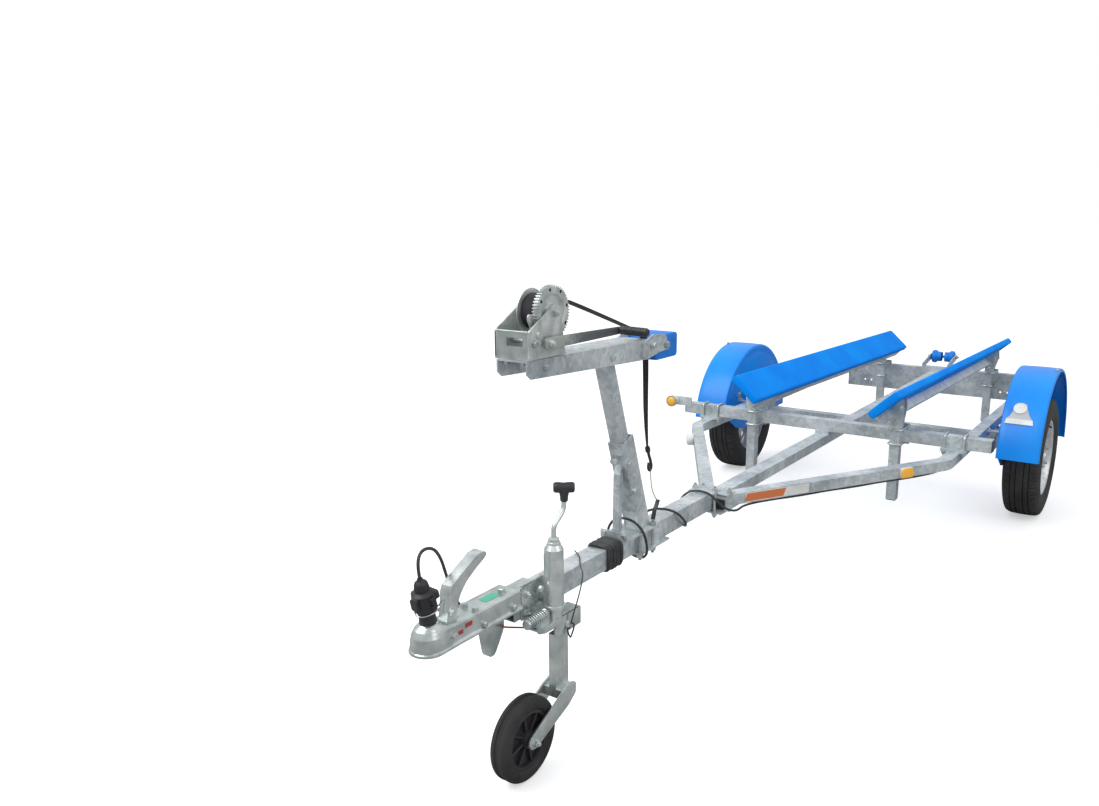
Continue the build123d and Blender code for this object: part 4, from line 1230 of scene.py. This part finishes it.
shaft_parts = [
    turned(at(50.2, WINCH_Y, WINCH_Z), shaft_nut, LEFT, 6),
    turned(at(59, WINCH_Y, WINCH_Z), shaft_end, LEFT, 20),
    turned(at(-58.2, WINCH_Y, WINCH_Z), shaft_nut, RIGHT, 6),
    turned(at(0, PINION_Y, PINION_Z), pinion_line, LEFT, 30),
    turned(at(64, PINION_Y, PINION_Z), pinion_nut, LEFT, 6),
    turned(at(73, PINION_Y, PINION_Z), pinion_end, LEFT, 20),
    slab(rounded(pawl, 6), 28.0, 32.0, soft=0.9),
    swept([at(24, -2893, 1106), at(56, -2893, 1106)], ring(4.6, 14), UP),
    turned(at(50.2, -2893, 1124), plugged((0, 8.6), (3, 8.6), (5, 6)), LEFT, 20),
]
piece("winch_shafts", merged(*shaft_parts), winch_plate)
arm_line = [
    (-2878, 1090), (-2878, 1112), (-2864, 1116), (-2840, 1116), (-2700, 1113.4), (-2540, 1110),
    (-2530, 1100), (-2540, 1090), (-2700, 1088.6), (-2840, 1087),
]
arm_skin = slab(rounded(arm_line, 7), 57.6, 64.4, soft=1.1)
# Painted shade: the crank arm is pale by the hub and darkens along its length towards the grip,
# with the shade on its outer part painted into its colour. The fine mottle is real tone.
arm_plate_and_shade = Finish("crank_plate_and_shade", (0.5, 0.52, 0.5), 0.4, 0.5)
along = arm_plate_and_shade.node("ShaderNodeSeparateXYZ", inputs={0: arm_plate_and_shade.place}, out="Y")
mottle = arm_plate_and_shade.noise(90.0, 4.0)
arm_hub_to_shade_stops = ((0.42, (0.46, 0.50, 0.46)), (0.58, (0.17, 0.18, 0.19)), (1.0, (0.12, 0.12, 0.13)))
arm_plate_and_shade.tint((along + 2.0) * 2.2 + mottle * 0.3, *arm_hub_to_shade_stops)
arm_plate_and_shade.set("Roughness", 0.3 + mottle * 0.3)
piece("winch_crank_arm", arm_skin, arm_plate_and_shade, stands_for=["winch_crank"])
hand_at = at(64.5, -2544, 1101)
hand_way = (at(152, -2544, 1099) - hand_at).normalized()
hand_line = [(0, 0), (0, 9), (1.4, 11.4), (5, 12.4), (10, 11.4)]
for start in range(14, 77, 7):
    hand_line += [(start, 11.0), (start + 1.4, 12.3), (start + 4.6, 12.3), (start + 6, 11.0)]
hand_line += [(80, 12.3), (84.6, 11.4), (87.2, 8.6), (87.4, 0)]
hand_grip = turned(hand_at, hand_line, hand_way, 40)
piece("winch_hand_grip", hand_grip, black_plastic, stands_for=["crank_grip"])
winch_bolts = [(at(x, -2912, 1059), DOWN, 1.0) for x in (-34, 22)]
winch_bolts += [(at(x, -2906, 1069.4), UP, 0.85) for x in (26, -30)]
cheek_bolts = ((48.4, -2862, 1040), (50.4, -2802, 1092), (50.4, -2910, 1104))
winch_bolts += [(at(*place), LEFT, 0.8) for place in cheek_bolts]
bolted("winch_bolts", BOLT, winch_bolts, 23)

# Strap: flat black webbing on the drum, drawn back over the table, down past the bow stop to a
# hook, and a thin safety line from the hook to the drawbar.
webbing = Finish("black_webbing", (0.020, 0.020, 0.022), 0.8)
weave_inputs = {"Vector": webbing.place, "Scale": 260.0}
weave = webbing.node("ShaderNodeTexWave", {"bands_direction": "X"}, weave_inputs, out=1)
bleach = webbing.noise(20.0)
webbing.tint(bleach, (0.3, (0.014, 0.014, 0.017)), (0.7, (0.036, 0.034, 0.042)))
webbing.bump(weave, 0.4, 0.0006)
# The webbing is wound as a spiral, so that the edges of its layers show.
ROLL_LAYERS = 9
ROLL_CUTS = 96
ROLL_CORE, ROLL_DEPTH = 23.4, 23.4
roll_steps = ROLL_CUTS * ROLL_LAYERS
roll_rows = []
for step in range(roll_steps + 1):
    way = about(-math.tau * step / ROLL_CUTS)
    radius = ROLL_CORE + ROLL_DEPTH * step / roll_steps
    roll_rows.append([WINCH_AT + (way * radius + ACROSS * x) * MM for x in (-22.4, 27.2)])
strap_wound = thickened(skin(roll_rows, around=False), 0.0016)
piece("strap_wound", strap_wound, webbing, stands_for=["strap_roll"])


def strap_mesh(stations, thickness=1.8, cuts=6):
    """A flat band through stations of x, y, z, half width and turn about its line in degrees."""
    stations = np.array(stations, dtype=float)
    knots = np.arange(len(stations))
    fine = np.linspace(0, len(stations) - 1, (len(stations) - 1) * cuts + 1)
    line = np.column_stack([np.interp(fine, knots, stations[:, k]) for k in range(5)])
    for _ in range(4):
        line[1:-1, :3] = (line[:-2, :3] + line[1:-1, :3] * 2 + line[2:, :3]) / 4
    rows = []
    for step, (*spot, half, angle) in enumerate(line):
        before = line[max(step - 1, 0), :3]
        after = line[min(step + 1, len(line) - 1), :3]
        way = Vector(after - before).normalized()
        side = (ACROSS - way * ACROSS.dot(way)).normalized()
        side = Matrix.Rotation(math.radians(angle), 3, way) @ side
        up = way.cross(side)
        corners = oblong(-half, -thickness / 2, half, thickness / 2)
        rows.append([at(*spot) + (side * u + up * v) * MM for u, v in corners])
    return skin(rows, ends=True)


strap_stations = [
    (4, -2812, 1220.4, 19, 0),
    (8, -2700, 1186, 18, 0),
    (12, -2600, 1152, 17, 0),
    (16, -2500, 1117, 16, 0),
    (19, -2420, 1089, 15, 0),
    (22, -2374, 1072, 13, 0),
    (24, -2352, 1056, 11, 0),
    (24.5, -2344, 1020, 10, 0),
    (24.5, -2341, 960, 9.4, 0),
    (24, -2339, 900, 8.6, 0),
    (23, -2336, 840, 7.8, 0),
    (22, -2330, 780, 6.4, 6),
    (20.5, -2319, 712, 3.6, 12),
]
piece("strap_band", strap_mesh(strap_stations), webbing)
hook_side = [
    (-2316, 712), (-2310, 690), (-2298, 668), (-2292, 648), (-2302, 636), (-2312, 646),
    (-2308, 664),
]
hook = swept(eased([(20, y, z) for y, z in hook_side], 12, 5), ring(4.6))
eye_line = plugged((0, 7), (3, 8), (14, 8), (17, 7))
hook_eye = turned(at(20, -2318, 716), eye_line, (0, 0.25, -1), 20)
piece("strap_hook", merged(hook, hook_eye), black_plastic)
pale_line = Finish("pale_line", (0.62, 0.58, 0.50), 0.6)
pale_line.tint(pale_line.noise(200.0), (0.35, (0.48, 0.43, 0.34)), (0.7, (0.74, 0.71, 0.64)))
line_path = [(20, -2300, 640), (20, -2288, 571), (20, -2262, 536), (20, -2249, 528)]
safety_line = swept(eased(line_path, 20, 5), ring(1.9, 8))
piece("safety_line", merged(safety_line), pale_line)
anchor_path = [(20, -2249, 530), (20, -2256, 516), (19, -2268, 500), (18, -2276, 470)]
safety_anchor = swept(eased(anchor_path, 8, 4), bar(14, 5, 1.5))
piece("safety_anchor", merged(safety_anchor), black_plastic)
tether_path = [
    (-37, -2622, 465), (0, -2650, 466), (36, -2700, 465), (84, -2754, 472), (104, -2790, 455),
    (108, -2812, 425), (106, -2828, 392), (102.5, -2835, 366),
]
tether = swept(eased(tether_path, 18, 5), ring(1.8, 8))
pin_tether = piece("pin_tether", tether, cord_rubber, body=None)
at(104, -2800, 455)
at(104, -2800, 372)
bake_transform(pin_tether)
red_link = Finish("red_link", (0.35, 0.06, 0.03), 0.45)
red_link.set("Roughness", 0.35 + red_link.noise(60.0) * 0.25)
link_path = [at(20, -3016, 402), at(20, -2990, 390), at(20, -2931, 366)]
piece("brake_link", swept(link_path, ring(2.4, 10), UP), red_link)

# Lamps and reflector: clear amber plastic over a pale base, a round one in a metal rim at the
# end of the front beam, and a round white reflector on a bare plate on the left mudguard.
amber = Finish("amber_lens", (1.0, 0.50, 0.04), 0.16, Coat_Weight=0.5, Emission_Strength=0.05)
amber.set("Emission Color", (1.0, 0.55, 0.05, 1.0))
facet_inputs = {"Vector": amber.place, "Scale": 80.0}
facet = amber.node("ShaderNodeTexWave", {"bands_direction": "DIAGONAL"}, facet_inputs, out=1)
amber.set("Roughness", 0.12 + facet * 0.14)
amber.bump(facet, 0.3, 0.0006)
white_plastic = Finish("white_plastic", (0.80, 0.80, 0.78), 0.4)
soil = white_plastic.noise(18.0, 4.0)
white_plastic.tint(soil, (0.3, (0.70, 0.70, 0.68)), (0.7, (0.88, 0.88, 0.87)))
LAMP_X = 468.1
ROUND_LAMP = at(-753, -788, 504)
lens_line = rounded([(-29, -19), (29, -19), (29, 12), (17, 20), (-17, 20), (-29, 12)], 8, 5)
base_line = rounded(oblong(-30, -21, 30, 21), 9, 5)
lens_parts = []
base_parts = []
for sign in (-1, 1):
    lean = Matrix.Rotation(-LEG_ANGLE * sign, 4, "Z")
    place = Matrix.Translation(at(LAMP_X * sign, -1100, 415))
    home = place @ lean @ Matrix.Translation((0, -AXLE_Y, 0))
    lens_parts.append(slab(lens_line, 0.5 * sign, 6.0 * sign, soft=1.9))
    base_parts.append(slab(base_line, -6 * sign, 0, soft=0.9))
    lens_parts[-1].transform(home)
    base_parts[-1].transform(home)
housing = turned(ORIGIN, plugged((0, 25), (4, 27), (22, 27), (27, 24), (30, 18)), RIGHT, 40)
housing.transform(Matrix.Translation(at(-456, -1112, 420)) @ Matrix.Rotation(LEG_ANGLE, 4, "Z"))
base_parts.append(housing)
lamp_back = plugged((40, 20), (30, 24), (8, 26), (5, 26))
lamp_lens = [(6, 23), (1, 22.6), (-3.5, 19), (-6.4, 13), (-7.6, 6), (-8, 0)]
lamp_rim = [(8, 23), (0, 23.4), (-2, 24.6), (-2, 26.6), (0, 27.6), (9, 27.6), (10, 26)]
base_parts.append(turned(ROUND_LAMP, lamp_back, BEHIND, 64))
lens_parts.append(turned(ROUND_LAMP, lamp_lens, BEHIND, 64))
piece("lamp_lenses", merged(*lens_parts), amber, stands_for=["lamps"])
piece("lamp_bases", merged(*base_parts), white_plastic)
round_rim = turned(ROUND_LAMP, lamp_rim, BEHIND, 64, closed=True)
piece("round_lamp_rim", round_rim, zinc)


def guard_row(angle, left, right, rise):
    """A row of places across the left mudguard's face at an angle in degrees."""
    turn = math.radians(angle)
    return [on_guard(left + (right - left) * t, turn, rise) for t in np.linspace(0, 1, 9)]


plate_spans = [
    (29.4, 670, 779), (30.2, 671, 778), (32.6, 675, 774), (34.4, 684, 765), (37, 692, 756),
    (40.5, 696, 748), (43.5, 701, 742),
]
plate_rows = [guard_row(angle, left, right, 1.6) for angle, left, right in plate_spans]
band_spans = ((29.2, 668, 781, 4.2), (32.4, 673, 777, 4.2), (32.8, 676, 774, 2.0))
white_band = skin([guard_row(*span) for span in band_spans], around=False)
DISC_TURN = math.radians(40.0)
disc_way = (0, -math.cos(DISC_TURN), math.sin(DISC_TURN))
disc_line = [
    (-2, 0), (-2, 27.4), (3.4, 27.4), (5.2, 26), (5.4, 24.6), (4.2, 23.6), (5.4, 15), (5.8, 5),
    (4.6, 3.4), (4.6, 0),
]
reflector = turned(on_guard(720, DISC_TURN, 2.0), disc_line, disc_way, 64)
# Painted shade: the reflector plate's grey is partly its own pale grey and partly the shade across
# its middle, painted into its colour.
plate_grey_and_shade = Finish("plate_grey_and_shade", (0.42, 0.44, 0.46), 0.35, 0.3)
plate_grey_and_shade.set("Roughness", 0.3 + plate_grey_and_shade.noise(30.0) * 0.2)
plate_mesh = thickened(skin(plate_rows, around=False), 0.0018)
piece("reflector_plate", plate_mesh, plate_grey_and_shade)
piece("guard_reflector", merged(white_band, reflector), white_plastic)

# Labels and caps: blank stickers where the trailer carries its plates, and black plastic caps in
# the ends of the open tubes.
orange_film = Finish("orange_film", (0.72, 0.20, 0.06), 0.35)
red_film = Finish("red_film", (0.42, 0.04, 0.04), 0.35)
green_film = Finish("green_film", (0.08, 0.46, 0.30), 0.35)
for sticker in (orange_film, red_film, green_film):
    sticker.set("Roughness", 0.25 + sticker.noise(40.0) * 0.2)


def leg_label(start, stop, low, high, lift, slant=0.0):
    """A thin sticker on the outer face of the left slanting leg, between two distances back."""
    rows = []
    for rise in (0.0, lift):
        row = []
        for y, z in ((start + slant, low), (stop + slant, low), (stop, high), (start, high)):
            x = (y - LEG_APEX_Y) * LEG_SLOPE + 25.0 / math.cos(LEG_ANGLE)
            row.append(at(x + rise * math.cos(LEG_ANGLE), y - rise * math.sin(LEG_ANGLE), z))
        rows.append(row)
    return skin(rows, ends=True)


piece("leg_label", leg_label(-1748, -1504, 398, 433, 0.5), white_plastic)
leg_mark = leg_label(-1742, -1594, 401, 430, 0.9, -10.0)
piece("leg_label_mark", leg_mark, orange_film)
mark_spots = (oblong(-3168, 464, -3144, 475), oblong(-3200, 455, -3176, 465))
side_marks = [slab(spot, 36.4, 37.4, soft=0) for spot in mark_spots]
piece("coupling_marks", merged(*side_marks), red_film)
top_mark = slab(oblong(-16, -3062, 10, -3008), 481.2, 482.5, "XY", 0)
piece("coupling_top_mark", top_mark, green_film)


def cap(corners, low, high, plane, soft):
    """A cap in a tube's end, drawn between two opposite corners."""
    return slab(rounded(oblong(*corners), 4, 3), low, high, plane, soft)


cap_parts = []
for sign in (-1, 1):
    cap_parts.append(cap((-744, 449, -696, 497), sign * 688, sign * 698, "YZ", 1.4))
    middle = sign * 555
    cap_parts.append(cap((middle - 23, 396, middle + 23, 434), 1200, 1211, "XZ", 1.4))
    for x, y, z in ((326 * sign, -765, 195), (313 * sign, 1163, 171)):
        cap_parts.append(cap((x - 19, y - 19, x + 19, y + 19), z - 3, z + 8, "XY", 1.2))
for low, high in ((31, 66), (-66, -31)):
    cap_parts.append(cap((low, 397, high, 433), -1869, -1860, "XZ", 1.2))
rail_caps = []
for share, outward in ((0.0288, -1.0), (0.9712, 1.0)):
    rows = []
    for shift in (-0.0004, 0.0018):
        corners = oblong(3, BUNK_T + 1, 51, BUNK_T + 39)
        rows.append([bunk_place(share + outward * shift, u, v) for u, v in corners])
    rail_caps.append(skin(rows, ends=True))
piece("rail_caps", mirrored(merged(*rail_caps)), galvanised)
piece("tube_caps", merged(*cap_parts), black_plastic)
